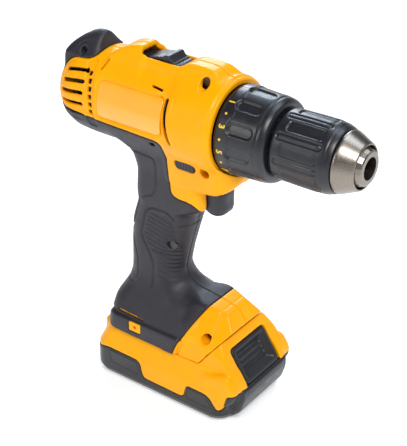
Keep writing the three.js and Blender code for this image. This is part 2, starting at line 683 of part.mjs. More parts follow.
function addChuck() {
  const core = turned([
    [84, 6.65], [84, 16.8], [117.4, 16.8], [118.6, 12.4], [130.4, 12.4], [CHUCK_FACE - 0.6, 10.8],
    [CHUCK_FACE, 10], [CHUCK_FACE, 7.1], [105, 7.1], [103, 5], [103, 3], [101, 3], [101, 6.65],
  ], 20);
  const jawHoles = [0, 1, 2].map((i) => jawSpace(i, JAW_RADIUS + 0.35, -40, 60));
  const nutGroove = ring(98.8, 107.2, 14.6, 18);
  add('chuck_body', cut(core, nutGroove, ...jawHoles), 'steel');
  add('chuck_nut', ring(99.2, 106.8, 16.2, 18.2), 'brass');
  const sleeve = turned([
    [CHUCK_REAR, 12], [CHUCK_REAR, 20], [81.2, 20.9], [108, 22], [117.6, 20.4], [119.2, 19.6],
    [119.2, 18.6], [82.4, 18.6], [82.4, 12],
  ]);
  add('chuck_sleeve', sleeve, 'black');
  add('chuck_front_cone', turned([
    [119.6, 13.4], [119.6, 19.2], [121, 19.1], [131.4, 14.5], [132.1, 13.9], [132.1, 13],
  ]), 'steel');
  for (let i = 0; i < 3; i += 1) {
    const angle = (2 * Math.PI * i) / 3 + Math.PI / 2;
    const inside = turnedBox([60, 160], -30, JAW_GRIP_RADIUS, 30, angle);
    const limit = prism([0, -1, 1].map((side) => {
      const spread = angle + side * (Math.PI / 3);
      const apex = 4.9;
      const reach = side === 0 ? 0 : 60;
      return [
        apex * Math.cos(angle) + reach * Math.cos(spread),
        apex * Math.sin(angle) + reach * Math.sin(spread),
      ];
    }), 60, 160);
    const pin = jawSpace(i, JAW_RADIUS, 0, JAW_LENGTH);
    add(`chuck_jaw_${i + 1}`, pin.subtract(inside).intersect(limit), 'darkSteel');
  }
  add('chuck_screw', joined(rod(88, 104, 2.3), rod(103.4, 106, 4.2)), 'darkSteel');
}

// ---- motor ----
const CAN_RADIUS = 20.5;
const SHAFT_RADIUS = 2.5;

function addMotor() {
  const can = turned([
    [-56, CAN_RADIUS], [-4.4, CAN_RADIUS], [-4.4, 9.4], [-3.6, 9.4], [-3.6, 5.6], [-6, 5.6],
    [-6, 18.8], [-56, 18.8],
  ]);
  add('motor_can', can, 'steel');
  add('magnet_ring', ring(-46, -12, 14.2, 18.4, 24), 'darkSteel');
  const slots = Array.from({ length: 5 }, (_, i) => turnedBox([-50, 0], 7, 20, 1.2, (2 * Math.PI * i) / 5));
  const shaft = rod(-82, 7, SHAFT_RADIUS, 12);
  const core = cut(rod(-44, -14, 13.4, 15), ...slots);
  const commutator = rod(-55, -47.5, 5, 16);
  const pinion = prism(gearOutline(SUN_TEETH, 0), 0.4, stageStart(1) + PLANET_WIDTH - 0.4);
  add('rotor', joined(shaft, core, commutator, pinion), 'darkSteel');
  const bell = turned([
    [-62, 20.4], [-56.4, 20.4], [-56.4, 8.6], [-58.6, 8.6], [-58.6, 3.2], [-62, 3.2],
  ]);
  const brushes = [-1, 1].map((side) => {
    const [low, high] = [side * 5.4, side * 15].sort((a, b) => a - b);
    return box([-57, low, AXIS_Z - 2.4], [-49, high, AXIS_Z + 2.4]);
  });
  add('motor_end_bell', joined(bell, ...brushes), 'black');
  const blades = Array.from({ length: 7 }, (_, i) => (
    turnedBox([-70.5, -66], 6, 19, 0.7, (2 * Math.PI * i) / 7)));
  const disc = ring(-71.4, -70, SHAFT_RADIUS + GAP, 19.4);
  const hub = ring(-71.4, -65, SHAFT_RADIUS + GAP, 7);
  const fan = joined(disc, hub, ...blades);
  add('cooling_fan', fan, 'black');
}

// ---- battery pack ----
const CELL = { radius: 9.1, halfLength: 32.5, count: 5, pitch: 18.7, z: 13.4 };
const LATCH = { x: 63, z: 40, out: new THREE.Vector2(0.894, 0.447), halfWidth: 19.2 };

// Slab whose outline is given in the latch's own frame: [distance out, distance up the face].
function latchSlab(outline, half, bevel = 0) {
  const up = new THREE.Vector2(-LATCH.out.y, LATCH.out.x);
  const points = outline.map(([out, rise]) => [
    LATCH.x + out * LATCH.out.x + rise * up.x,
    LATCH.z + out * LATCH.out.y + rise * up.y,
  ]);
  return slab(points, -half, half, bevel);
}

const BLADES = [-9, -3, 3, 9]; // y of the terminal blades
const LIP_OUTLINE = [
  [44, 2.2], [44, 10], [52, 13], [60, 23.6], [69, 25.2], [69.2, 19], [65.8, 8], [58.6, 1],
];

function addBattery() {
  const { rear, front, halfWidth, trayTop, shoulder, top } = BATTERY;
  const wall = 2.4;
  const trayBody = loft([
    [0, rear + 5, front - 5, halfWidth - 5, 9],
    [2.2, rear + 1.6, front - 1.6, halfWidth - 1.6, 11],
    [6, rear, front, halfWidth, 12],
    [trayTop, rear, front, halfWidth, 12],
  ]);
  const lip = slab(LIP_OUTLINE, -21, 21, 1.5);
  const trayRoom = loft([
    [wall, rear + wall + 3, front - wall - 3, halfWidth - wall - 0.6, 3],
    [trayTop + 30, rear + wall + 3, front - wall - 3, halfWidth - wall - 0.2, 3],
  ]);
  add('battery_tray', joined(trayBody, lip).subtract(trayRoom), 'grip');

  const block = slab([
    [30, 20], [30, 36], [SEAM_LOW.x, SEAM_LOW.y], [SEAM_HIGH.x, SEAM_HIGH.y], [56.4, 57.6],
    [69.2, 28], [69.2, 25.6], [60, 24.2], [54, 20],
  ], -24, 24, 2);
  const coverBody = loft([
    [trayTop + GAP, rear, front, halfWidth, 12],
    [shoulder, rear, front, halfWidth, 12],
    [top, rear + 6, front - 6, halfWidth - 6.5, 9],
  ]);
  const coverRoom = loft([
    [0, rear + wall + 1.6, front - wall - 3, halfWidth - wall - 0.2, 6],
    [22.9, rear + wall + 1.6, front - wall - 3, halfWidth - wall - 0.2, 6],
    [top - wall, rear + 9.5, front - 16, halfWidth - 10, 5],
  ]);
  const lipRoom = slab(grown(LIP_OUTLINE, GAP), -21 - GAP, 21 + GAP);
  const latchRoom = latchSlab([[-13, -13.8], [9, -13.8], [9, 13.8], [-13, 13.8]], LATCH.halfWidth + 0.4);
  const cableHole = box([-24, -13, top - 6], [22, 13, top + 1]);
  const cover = cut(joined(coverBody, block), coverRoom, lipRoom, latchRoom, cableHole)
    .subtract(box([-FAR, -FAR, -FAR], [FAR, FAR, trayTop + GAP]));
  add('battery_cover', cover, 'yellow');

  const face = latchSlab([[-6, -13.2], [0, -13.2], [0, 13.2], [-6, 13.2]], LATCH.halfWidth, 1.2);
  const dish = latchSlab([[-3.4, -9], [6, -10.6], [6, 10.6], [-3.4, 9]], 15.6);
  const ribs = [-7.5, -3.5, 0.5, 4.5].map((rise) => (
    latchSlab([[-4, rise], [-1.8, rise + 0.8], [-4, rise + 1.8]], 15.2)));
  add('battery_latch_button', joined(face.subtract(dish), ...ribs), 'black');
  const out = [LATCH.out.x, 0, LATCH.out.y];
  const springSeat = [LATCH.x - 12.6 * out[0], 0, LATCH.z - 12.6 * out[2]];
  add('latch_spring', coil(springSeat, out, 6.2, 4, 0.6, 3), 'steel');

  const rail = joined(
    box([-28, -18, top + GAP], [26, 18, 44.6]),
    box([-28, -21.5, 44], [26, 21.5, 50.4]),
  );
  const bladeSlots = BLADES.map((y) => box([-30, y - 0.8, 40], [-12, y + 0.8, 52]));
  add('battery_rail', cut(rail, ...bladeSlots, box([-10, -12, 0], [20, 12, 47])), 'black');
  add('terminal_block', joined(
    box([-34.6, -12, 44], [-30.4, 12, 60]),
    ...BLADES.map((y) => box([-31, y - 0.4, 45.6], [-15, y + 0.4, 49.6])),
  ), 'black');

  const cellX = (i) => (i - (CELL.count - 1) / 2) * CELL.pitch;
  const indices = Array.from({ length: CELL.count }, (_, i) => i);
  const cells = indices.map((i) => (
    crossBar(cellX(i), CELL.z, -CELL.halfLength, CELL.halfLength, CELL.radius, 14)));
  const straps = [-1, 1].map((side) => {
    const ends = [side * (CELL.halfLength - 0.2), side * (CELL.halfLength + 0.5)].sort((a, b) => a - b);
    return box([cellX(0) - 4, ends[0], CELL.z - 3.5], [cellX(CELL.count - 1) + 4, ends[1], CELL.z + 3.5]);
  });
  add('cell_pack', joined(...cells, ...straps), 'cell');
  const holder = cut(
    box([-47.4, -24, 17], [47.4, 24, 24]),
    ...indices.map((i) => crossBar(cellX(i), CELL.z, -FAR, FAR, CELL.radius + GAP + 0.2, 14)),
  );
  add('cell_holder', holder, 'black');
  add('battery_board', joined(
    box([-30, -16, 24.4], [28, 16, 26]),
    box([-9, -11, 25.9], [-2, 11, 36]),
    ...BLADES.map((y) => box([-8, y - 1.6, 35], [-3, y + 1.6, 43])),
  ), 'board');
}

addHousing();
addControls();
addGears();
addGearbox();
addCollar();
addChuck();
addMotor();
addBattery();

export default drill;
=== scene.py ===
"""Looks of a cordless drill driver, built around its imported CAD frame.

Lengths in the shape code are millimetres in the frame's own axes: origin on the ground under the
battery, +X to the chuck, +Y the tool's left side, +Z up. Meshes are scaled to metres as they are made.
"""

import math

import bmesh
import bpy
import numpy as np
import openvdb
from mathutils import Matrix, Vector


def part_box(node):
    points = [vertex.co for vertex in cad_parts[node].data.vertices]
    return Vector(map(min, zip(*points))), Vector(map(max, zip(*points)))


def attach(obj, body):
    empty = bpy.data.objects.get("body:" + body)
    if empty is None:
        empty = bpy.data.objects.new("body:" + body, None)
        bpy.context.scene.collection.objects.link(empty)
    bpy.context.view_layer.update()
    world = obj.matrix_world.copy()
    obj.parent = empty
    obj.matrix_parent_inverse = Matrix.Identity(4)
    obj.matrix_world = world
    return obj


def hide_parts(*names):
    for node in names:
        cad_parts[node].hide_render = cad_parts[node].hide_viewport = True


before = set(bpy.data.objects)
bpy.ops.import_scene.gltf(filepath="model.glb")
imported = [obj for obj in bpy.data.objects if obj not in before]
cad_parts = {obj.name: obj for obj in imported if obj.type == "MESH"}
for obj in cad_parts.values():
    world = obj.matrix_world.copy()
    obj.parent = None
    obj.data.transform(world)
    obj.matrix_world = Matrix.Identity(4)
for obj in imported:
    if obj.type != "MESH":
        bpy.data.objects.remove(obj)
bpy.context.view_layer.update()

# ---- driving dimensions ----
MM = 0.001
STEP = 0.6  # spacing of the distance grid
AXIS_Z = 201.4  # height of the motor and chuck axis
WALL = 2.6  # thickness of the moulded shells
GAP = 0.15  # half the joint line between two mouldings
FAR = 400.0  # stands for well outside, in a distance field

BARREL_FRONT = 43.2
COLLAR_RADIUS = 28.9  # room for the torque collar ahead of the barrel
FOOT_BOTTOM = 38.3
BATTERY_SIDE = 36.45  # half the battery's width
SEAM_LOW = (34.9, 38.0)  # the foot and the battery part along this line
SEAM_HIGH = (52.7, 61.4)
SEAM_END = 80  # no part of the joint is higher than this

BARREL_PROFILE = [
    (-87.3, -60), (-87.3, 8), (-86.2, 15), (-83.4, 21), (-78, 26.2), (-70, 29), (-58, 29.8), (6, 30),
    (12, 31.6), (40.6, 32.3), (41.2, 31.4), (43.2, 31.2), (43.2, -60),
]
# z, rear x, front x, half width, corner radius
HANDLE_SECTIONS = [
    (38.3, -44, 30, 31.4, 9), (51, -44, 30, 31.4, 12), (60, -44.4, 24, 27, 14), (71, -39.4, 12, 19.5, 15),
    (79, -38, 6, 16.8, 15), (87, -38, 2.8, 16.3, 15), (103, -37.8, 6.2, 16.2, 15),
    (119, -36.4, 10.6, 16.4, 15), (135, -30.6, 15, 16.8, 14), (140, -29, 25, 17.2, 10),
    (145, -28.4, 27.4, 17.4, 9), (160, -27.8, 26, 17.6, 10), (172, -31, 24, 19.8, 12),
    (181, -42, 26, 21, 10), (190, -58, 30, 21.5, 9),
]
NOSE_OUTLINE = [
    (0, 192), (0, 158), (24, 157), (38, 158.5), (46.5, 163), (51.5, 169), (50.4, 176), (46, 186), (30, 192),
]
RIDGE_OUTLINE = [(-52, 222), (-45, 231), (-24, 235.2), (8, 235.2), (36, 233), (40, 222)]
HOOD_OUTLINE = [
    (-49, 222), (-47.6, 230), (-41.5, 235.6), (-36, 238.2), (-30, 239.9), (-25.5, 240.4), (-22, 239.4),
    (-19.4, 235), (-19, 222),
]
PLATEAU_OUTLINE = [
    (4.6, 222), (6.8, 235), (13, 238.2), (25, 238.2), (31.5, 237.4), (36.4, 233.4), (38.6, 222),
]
BUMP_OUTLINE = [
    (-76, 212), (-83.4, 217), (-84.6, 222), (-82.2, 229.6), (-75, 235.8), (-66.6, 240), (-61.4, 240.5),
    (-58.6, 238.8), (-57.4, 234), (-57, 222), (-62, 212),
]
GRIP_OUTLINE = [
    (-96, 194.2), (-80, 193.6), (-56, 192.2), (3.4, 190.4), (4.4, 183), (3.2, 165), (3.2, 154.5),
    (4.4, 150.2), (9, 148), (18.4, 148.2), (22.6, 145.8), (24.4, 140.4), (28, 137.4), (60, 137),
    (60, 110), (32, 74), (19.5, 50), (15, 40), (14, 30), (-96, 30),
]
BUMPER_OUTLINE = [
    (-55.5, 250), (-55.8, 228.8), (-61, 225.9), (-72.5, 225.2), (-79, 220.6), (-84.8, 209), (-85.6, 195),
    (-85.6, 190), (-96, 190), (-96, 250),
]
# x, z and how deep each screw sits below the middle plane
SCREWS = {
    "rear": (-67.5, 229, 8), "ridge": (27.8, 230.5, 8), "nose": (33, 175.4, 13),
    "handle": (1, 109.2, 10), "foot": (38, 56.4, 17),
}
SCREW_HOLE = 3.4
REAR_SCREW_HOLE = 2.4
VENTS = (40, 24.5, 9.5, -5.5, -19.5)  # height angles of the vents
SMALL_SLOTS = 6  # square slots in the band ahead of the vents
BUTTON = (18.2, 175.9, 7.5, 3.0)  # x, z, half length, half height of the reversing button
WINDOW = (-24.4, 6.8, 8.3, 231.6)  # rear x, front x, half width and floor of the selector window
POCKET = (-28.8, 9.8, 234.0)  # rear x, front x and roof of the space that the selector's plate slides in
HOOK = (-17.5, 46.4, 5.0, 3.6)  # middle and half sizes of the belt hook's seat
TRIGGER_SPRING = (150, 4.4, 21.5)  # height, radius and front end of the spring's room in the trigger
TRIGGER_OUTLINE = [
    (14, 160.2), (25, 161), (34, 159.8), (38.9, 155.6), (38.3, 149), (38.6, 143.4), (36.4, 139.2),
    (30.6, 137.5), (25.6, 138.6), (21.8, 141.6), (14, 142),
]

SCALLOPS = 11  # thumb scallops around the torque collar
DIAL_ONE = 58.2  # height angle of the dial's first number
SLEEVE_RIBS = 9
DIAL_NUMBERS = 8
DIAL_RADIUS = 28.1

CAMERA_TARGET = (0.01686, 0.00009, 0.10682)  # metres
CAMERA_AZIMUTH = -53.52
CAMERA_ELEVATION = 31.14
CAMERA_DISTANCE = 0.79696  # metres
CAMERA_LENS = 97.6
CAMERA_SHIFT = 0.0547

LATCH_MIDDLE = (60.3, 38.7)
LATCH_OUT = (0.834, 0.551)  # direction that the latch's face looks in
LOBE_OUTLINE = [(40, 14), (40, 33), (54, 38.6), (60.8, 38.4), (67.4, 28.3), (65.7, 20.6), (60.5, 14)]
LIP_OUTLINE = [
    (44, 2.2), (44, 12), (52, 13.4), (58, 21.4), (61, 26.6), (69, 26.6), (69.2, 19), (65.8, 8), (58.6, 1),
]
TRAY_ZONE = [
    (-70, 19.5), (-50, 20.4), (-40, 23.2), (-13.4, 22.8), (-10.6, 21), (-9.4, 14), (-7.2, 10.4),
    (26.4, 9.8), (29.2, 20.6), (46, 20.2), (50.4, 16.4), (53.6, 9.4), (57.4, 11.4), (60, 19.4),
    (62, 25.6), (80, 25.6), (80, -20), (-70, -20),
]
LABEL_PANELS = [
    [(-38.4, 21.8), (-13.8, 21.2), (-10.8, 11.8), (-36, 12.6)],
    [(30.6, 19.2), (45.4, 18.8), (50.4, 11), (29.4, 11)],
]


# ---- distance fields; negative is inside, and every length is in millimetres ----
def rounded(points, radius, closed=True, steps=4):
    """The outline with each corner replaced by a curve that starts radius before it."""
    count = len(points)
    made = []
    for i, corner in enumerate(points):
        if not closed and i in (0, count - 1):
            made.append(corner)
            continue
        here = Vector(corner)
        before = Vector(points[i - 1]) - here
        after = Vector(points[(i + 1) % count]) - here
        start = here + before.normalized() * min(radius, before.length * 0.48)
        end = here + after.normalized() * min(radius, after.length * 0.48)
        for k in range(steps + 1):
            t = k / steps
            p = start * (1 - t) ** 2 + here * 2 * t * (1 - t) + end * t**2
            made.append((p.x, p.y))
    return made


def line_distance(points, u, v, closed=False):
    """Distance from (u, v) to a polyline."""
    best = np.full(np.broadcast(u, v).shape, 1e9, np.float32)
    ends = points[1:] + points[:1] if closed else points[1:]
    for (ax, ay), (bx, by) in zip(points, ends):
        ex, ey = bx - ax, by - ay
        size = max(ex * ex + ey * ey, 1e-9)
        t = np.clip(((u - ax) * ex + (v - ay) * ey) / size, 0, 1)
        np.minimum(best, (u - ax - t * ex) ** 2 + (v - ay - t * ey) ** 2, out=best)
    return np.sqrt(best)


def outline_distance(points, u, v):
    """Signed distance from (u, v) to a closed outline."""
    inside = np.zeros(np.broadcast(u, v).shape, bool)
    for (ax, ay), (bx, by) in zip(points, points[1:] + points[:1]):
        if ay != by:
            inside ^= ((ay > v) != (by > v)) & (u < ax + (v - ay) * (bx - ax) / (by - ay))
    distance = line_distance(points, u, v, closed=True)
    return np.where(inside, -distance, distance)


def box_distance(u, v, half_u, half_v, corner=0.0):
    """Signed distance to a rounded rectangle about (0, 0)."""
    a = np.abs(u) - half_u + corner
    b = np.abs(v) - half_v + corner
    return np.sqrt(np.maximum(a, 0) ** 2 + np.maximum(b, 0) ** 2) + np.minimum(np.maximum(a, b), 0) - corner


def meet(a, b, radius=0.0):
    """The part inside both fields, with the edge between them rounded."""
    if radius <= 0:
        return np.maximum(a, b)
    return np.minimum(np.maximum(a, b), -radius) + np.sqrt(
        np.maximum(a + radius, 0) ** 2 + np.maximum(b + radius, 0) ** 2
    )


def merge(a, b, radius):
    """The union of two fields with a fillet between them."""
    h = np.clip(0.5 + 0.5 * (b - a) / radius, 0, 1)
    return b + (a - b) * h - radius * h * (1 - h)


def cut(body, tool, radius=0.0):
    return meet(body, -tool, radius)


def smooth_step(value, low, high):
    t = np.clip((value - low) / (high - low), 0, 1)
    return t * t * (3 - 2 * t)


def groove(body, distance, width, depth):
    """Sinks a rounded channel of that width along a line."""
    return body + depth * np.clip(1 - (distance / (width / 2)) ** 2, 0, 1)


def raised(body, distance, height, blend=0.8):
    """Lifts the surface where distance is negative; a negative height sinks it."""
    return body - height * smooth_step(-distance, -blend / 2, blend / 2)


class Grid:
    """Sample points of a block of space."""

    def __init__(self, low, high, step=STEP):
        self.low = low
        self.step = step
        axes = [np.arange(a, b + step, step, dtype=np.float32) for a, b in zip(low, high)]
        self.x = axes[0][:, None, None]
        self.y = axes[1][None, :, None]
        self.z = axes[2][None, None, :]

    def around_axis(self):
        """Radius and height angle about the motor axis; the angle is 0 at the sides and 90 on top."""
        across = np.abs(self.y)
        up = self.z - AXIS_Z
        return np.sqrt(across**2 + up**2), np.degrees(np.arctan2(up, across))


def side_outline(grid, points, radius=0.0):
    """Signed distance to an outline of x and z, the same at every y, with its corners rounded."""
    outline = rounded(points, radius) if radius else points
    return outline_distance(outline, grid.x[:, 0], grid.z[0])[:, None, :]


def turned_field(grid, profile, round_by=0.6, steps=2, reach=42, pitch=0.2):
    """A solid of revolution about the motor axis from an outline of x and radius."""
    radii = np.arange(0, reach, pitch, dtype=np.float32)
    table = outline_distance(rounded(profile, round_by, steps=steps), grid.x[:, :, 0], radii[None, :])
    radius, _ = grid.around_axis()
    place = np.clip(radius[0] / pitch, 0, len(radii) - 1.001)
    low = place.astype(int)
    part = place - low
    return table[:, low] * (1 - part) + table[:, low + 1] * part


def mesh_from_field(name, field, grid, mirrored=False):
    """A closed mesh on the zero surface of a field, with normals from the field's own slope."""
    padded = np.pad(field.astype(np.float32), 1, constant_values=3.0)
    volume = openvdb.FloatGrid(3.0)
    volume.copyFromArray(np.clip(padded, -3, 3))
    points, quads = volume.convertToQuads(0.0)
    slope = []
    for axis in range(3):
        slope.append(np.gradient(padded, axis=axis))
    low = np.clip(np.floor(points).astype(int), 0, np.array(padded.shape) - 2)
    part = np.clip(points - low, 0, 1)
    normal = np.zeros(points.shape)
    for dx in (0, 1):
        for dy in (0, 1):
            for dz in (0, 1):
                weight = np.ones(len(points))
                for axis, d in enumerate((dx, dy, dz)):
                    weight *= part[:, axis] if d else 1 - part[:, axis]
                index = (low[:, 0] + dx, low[:, 1] + dy, low[:, 2] + dz)
                for axis in range(3):
                    normal[:, axis] += weight * slope[axis][index]
    normal /= np.maximum(np.linalg.norm(normal, axis=1, keepdims=True), 1e-9)
    place = (points - 1) * grid.step + np.array(grid.low)
    corners = place[quads]
    facing = np.cross(corners[:, 2] - corners[:, 0], corners[:, 3] - corners[:, 1])
    if (facing * normal[quads[:, 0]]).sum(1).mean() < 0:
        quads = quads[:, ::-1]
    if mirrored:
        place[:, 1] *= -1
        normal[:, 1] *= -1
        quads = quads[:, ::-1]
    mesh = bpy.data.meshes.new(name)
    mesh.vertices.add(len(place))
    mesh.vertices.foreach_set("co", (place * MM).astype(np.float32).ravel())
    mesh.loops.add(quads.size)
    mesh.loops.foreach_set("vertex_index", quads.astype(np.int32).ravel())
    mesh.polygons.add(len(quads))
    mesh.polygons.foreach_set("loop_start", np.arange(0, quads.size, 4, dtype=np.int32))
    mesh.update(calc_edges=True)
    mesh.validate()
    mesh.shade_smooth()
    mesh.normals_split_custom_set_from_vertices(normal.astype(np.float32))
    return mesh


# ---- materials ----
def linear(red, green, blue):
    """A colour given as it looks on screen, 0 to 255, in the renderer's linear values."""
    values = []
    for v in (red, green, blue):
        c = v / 255
        values.append(c / 12.92 if c <= 0.04045 else ((c + 0.055) / 1.055) ** 2.4)
    return (*values, 1.0)


def shader(name, roughness, metallic=0.0, coat=0.0, coat_roughness=0.2, specular=0.5):
    material = bpy.data.materials.new(name)
    material.use_nodes = True
    tree = material.node_tree
    surface = tree.nodes["Principled BSDF"]
    surface.inputs["Roughness"].default_value = roughness
    surface.inputs["Metallic"].default_value = metallic
    surface.inputs["Coat Weight"].default_value = coat
    surface.inputs["Coat Roughness"].default_value = coat_roughness
    surface.inputs["Specular IOR Level"].default_value = specular
    return material, tree, surface


def noise(tree, scale, detail=4.0, stretch=None):
    """A noise texture in object space; scale is features per metre."""
    place = tree.nodes.new("ShaderNodeTexCoord")
    texture = tree.nodes.new("ShaderNodeTexNoise")
    texture.inputs["Scale"].default_value = scale
    texture.inputs["Detail"].default_value = detail
    if stretch:
        mapping = tree.nodes.new("ShaderNodeMapping")
        mapping.inputs["Scale"].default_value = stretch
        tree.links.new(place.outputs["Object"], mapping.inputs["Vector"])
        tree.links.new(mapping.outputs["Vector"], texture.inputs["Vector"])
    else:
        tree.links.new(place.outputs["Object"], texture.inputs["Vector"])
    return texture.outputs["Fac"]


def ramp(tree, source, stops):
    node = tree.nodes.new("ShaderNodeValToRGB")
    while len(node.color_ramp.elements) < len(stops):
        node.color_ramp.elements.new(0.5)
    for element, (place, colour) in zip(node.color_ramp.elements, stops):
        element.position = place
        element.color = colour
    tree.links.new(source, node.inputs["Fac"])
    return node.outputs["Color"]


def bump(tree, surface, source, height, strength=1.0):
    node = tree.nodes.new("ShaderNodeBump")
    node.inputs["Distance"].default_value = height
    node.inputs["Strength"].default_value = strength
    tree.links.new(source, node.inputs["Height"])
    tree.links.new(node.outputs["Normal"], surface.inputs["Normal"])


def grey(value):
    return (value, value, value, 1.0)


def moulded(name, dark, light, roughness, grain=2600.0, grain_height=2e-5, coat=0.0, blotch=40.0, spread=0.06,
            gloss=0.5):
    """Moulded plastic: slight colour drift, uneven gloss and a fine grain."""
    material, tree, surface = shader(name, roughness, coat=coat, specular=gloss)
    colour = ramp(tree, noise(tree, blotch, 3), [(0.35, dark), (0.65, light)])
    tree.links.new(colour, surface.inputs["Base Color"])
    smooth, rough = grey(roughness - spread), grey(roughness + spread)
    uneven = ramp(tree, noise(tree, 160, 5), [(0.3, smooth), (0.7, rough)])
    tree.links.new(uneven, surface.inputs["Roughness"])
    bump(tree, surface, noise(tree, grain, 2), grain_height)
    return material


def metal(name, dark, light, roughness, stretch=(12, 1, 1), scale=900.0):
    """Turned or ground metal: fine lines along one direction."""
    material, tree, surface = shader(name, roughness, metallic=1.0)
    lines = noise(tree, scale, 3, stretch)
    tree.links.new(ramp(tree, lines, [(0.3, dark), (0.7, light)]), surface.inputs["Base Color"])
    gloss = ramp(tree, lines, [(0.3, grey(roughness - 0.06)), (0.7, grey(roughness + 0.08))])
    tree.links.new(gloss, surface.inputs["Roughness"])
    bump(tree, surface, lines, 1.5e-5)
    return material


def lens_plastic(name):
    material, tree, surface = shader(name, 0.08, coat=0.6)
    surface.inputs["Transmission Weight"].default_value = 0.7
    tree.links.new(
        ramp(tree, noise(tree, 90), [(0.4, linear(225, 232, 240)), (0.6, linear(250, 250, 252))]),
        surface.inputs["Base Color"],
    )
    return material


yellow = moulded("yellow_plastic", linear(254, 170, 0), linear(255, 175, 0), 0.38, coat=0.2, gloss=0.1)
label_film = moulded(
    "label_film", linear(252, 172, 10), linear(255, 178, 16), 0.14, coat=1.0, grain_height=3e-6
)
grip_rubber = moulded("soft_grip", linear(33, 31, 39), linear(40, 38, 46), 0.5, grain=1500, grain_height=6e-5)
collar_black = moulded("collar_plastic", linear(24, 25, 31), linear(31, 32, 38), 0.36, coat=0.15)
trigger_black = moulded("trigger_plastic", linear(32, 33, 39), linear(38, 39, 45), 0.4)
tray_black = moulded("tray_plastic", linear(28, 29, 34), linear(35, 36, 41), 0.38)
latch_black = moulded("latch_plastic", linear(24, 25, 29), linear(31, 32, 36), 0.36)
inner_black = moulded("black_plastic", linear(18, 18, 20), linear(24, 24, 27), 0.5)
panel_grey = moulded("label_panel", linear(34, 34, 37), linear(42, 42, 45), 0.3)
dial_white = moulded("dial_white", linear(205, 205, 205), linear(220, 220, 220), 0.5)
dial_yellow = moulded("dial_print", linear(250, 200, 40), linear(252, 206, 50), 0.5)
nose_steel = metal("nose_steel", linear(128, 120, 112), linear(160, 151, 141), 0.3)
bright_steel = metal("bright_steel", linear(150, 147, 143), linear(184, 181, 176), 0.24)
dark_steel = metal("dark_steel", linear(70, 68, 66), linear(92, 90, 87), 0.35)
brass = metal("brass", linear(196, 156, 82), linear(214, 176, 100), 0.3)
clear_lens = lens_plastic("clear_lens")
circuit_green = moulded("circuit_board", linear(22, 74, 48), linear(32, 92, 60), 0.4)
cell_blue = moulded("cell_wrap", linear(52, 96, 140), linear(62, 108, 154), 0.38)

SLOT_MATERIAL = {
    "yellow_plastic": yellow, "soft_grip": grip_rubber, "trigger_plastic": trigger_black,
    "black_plastic": inner_black, "collar_plastic": collar_black, "tray_plastic": tray_black,
    "latch_plastic": latch_black, "nose_steel": nose_steel, "bright_steel": bright_steel,
    "dark_steel": dark_steel, "brass": brass, "clear_lens": clear_lens, "circuit_board": circuit_green,
    "cell_wrap": cell_blue,
}


def dress_cad_nodes():
    """Every CAD node takes the finish of its own slot."""
    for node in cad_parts.values():
        for i, old in enumerate(node.data.materials):
            node.data.materials[i] = SLOT_MATERIAL[old.name.split(".")[0]]


# ---- pieces ----
def place_piece(mesh, name, body, slot, nodes=(), material=None):
    """Names a piece, gives it its material, and hands it to the frame."""
    piece = bpy.data.objects.new(name, mesh)
    bpy.context.scene.collection.objects.link(piece)
    piece.data.materials.clear()
    piece.data.materials.append(material or SLOT_MATERIAL[slot])
    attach(piece, body)
    if nodes:
        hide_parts(*nodes)
    return piece


def place_field(field, grid, name, body, slot, nodes=(), material=None, mirrored=False):
    """Makes a field's mesh and places it as a piece."""
    return place_piece(mesh_from_field(name, field, grid, mirrored), name, body, slot, nodes, material)


# ---- the tool's shells ----
def handle_field(grid):
    keys = np.array(HANDLE_SECTIONS)
    z = grid.z[0, 0]
    soft = np.exp(-0.5 * (np.arange(-6, 6.1, grid.step) / 2.0) ** 2)
    soft /= soft.sum()
    extra = len(soft) // 2

    def along(column):
        values = np.interp(z, keys[:, 0], keys[:, column])
        return np.convolve(np.pad(values, extra, mode="edge"), soft, "valid")[None, None, : len(z)]

    rear, front, half, corner = (along(c) for c in (1, 2, 3, 4))
    side = box_distance(grid.x - (rear + front) / 2, grid.y, (front - rear) / 2, half, corner)
    return side


def prow_field(grid, low):
    """The faceted block shared by the foot's front and the battery: a flat top with roof-like sides."""
    y = np.abs(grid.y)

    def plane(nx, ny, nz, x, side, z):
        size = math.sqrt(nx * nx + ny * ny + nz * nz)
        return (nx * (grid.x - x) + ny * (y - side) + nz * (grid.z - z)) / size

    top_rear = plane(0.1, 0, 1, 35.3, 0, 73.4)
    top_middle = plane(0.23, 0, 1, 46.5, 0, 70.8)
    top_front = plane(1.1, 0, 1, 46.5, 0, 70.8)
    roof = plane(0.44, 1.1, 1, 35.3, 13, 73.4)
    side = plane(0, 1, 0.16, 40, 29.5, 50)
    front = plane(1, 0, 0.75, 52.7, 0, 61.6)
    roof_rear = plane(-0.5, 1.1, 1, 22, 14.5, 74.7)
    field = meet(meet(meet(top_rear, top_middle, 1.5), top_front, 1.2), roof, 1.6)
    field = meet(field, roof_rear, 4)
    field = meet(meet(field, side, 4), 4 - grid.x, 4)
    return meet(meet(field, front, 0.8), low - grid.z)


def behind_seam(grid, gap):
    """Negative behind the sloping joint between the foot and the battery."""
    dx, dz = SEAM_HIGH[0] - SEAM_LOW[0], SEAM_HIGH[1] - SEAM_LOW[1]
    size = math.hypot(dx, dz)
    return (dz * (grid.x - SEAM_LOW[0]) - dx * (grid.z - SEAM_LOW[1])) / size + gap


def nose_field(grid):
    outline = side_outline(grid, NOSE_OUTLINE, 5)
    half = np.interp(grid.z, [150, 158, 178, 185.6, 192], [17.4, 17.8, 21.6, 25.4, 25.4])
    half = half - 0.045 * np.maximum(grid.x - 37, 0) ** 2
    return meet(outline, np.abs(grid.y) - half, 3.0)


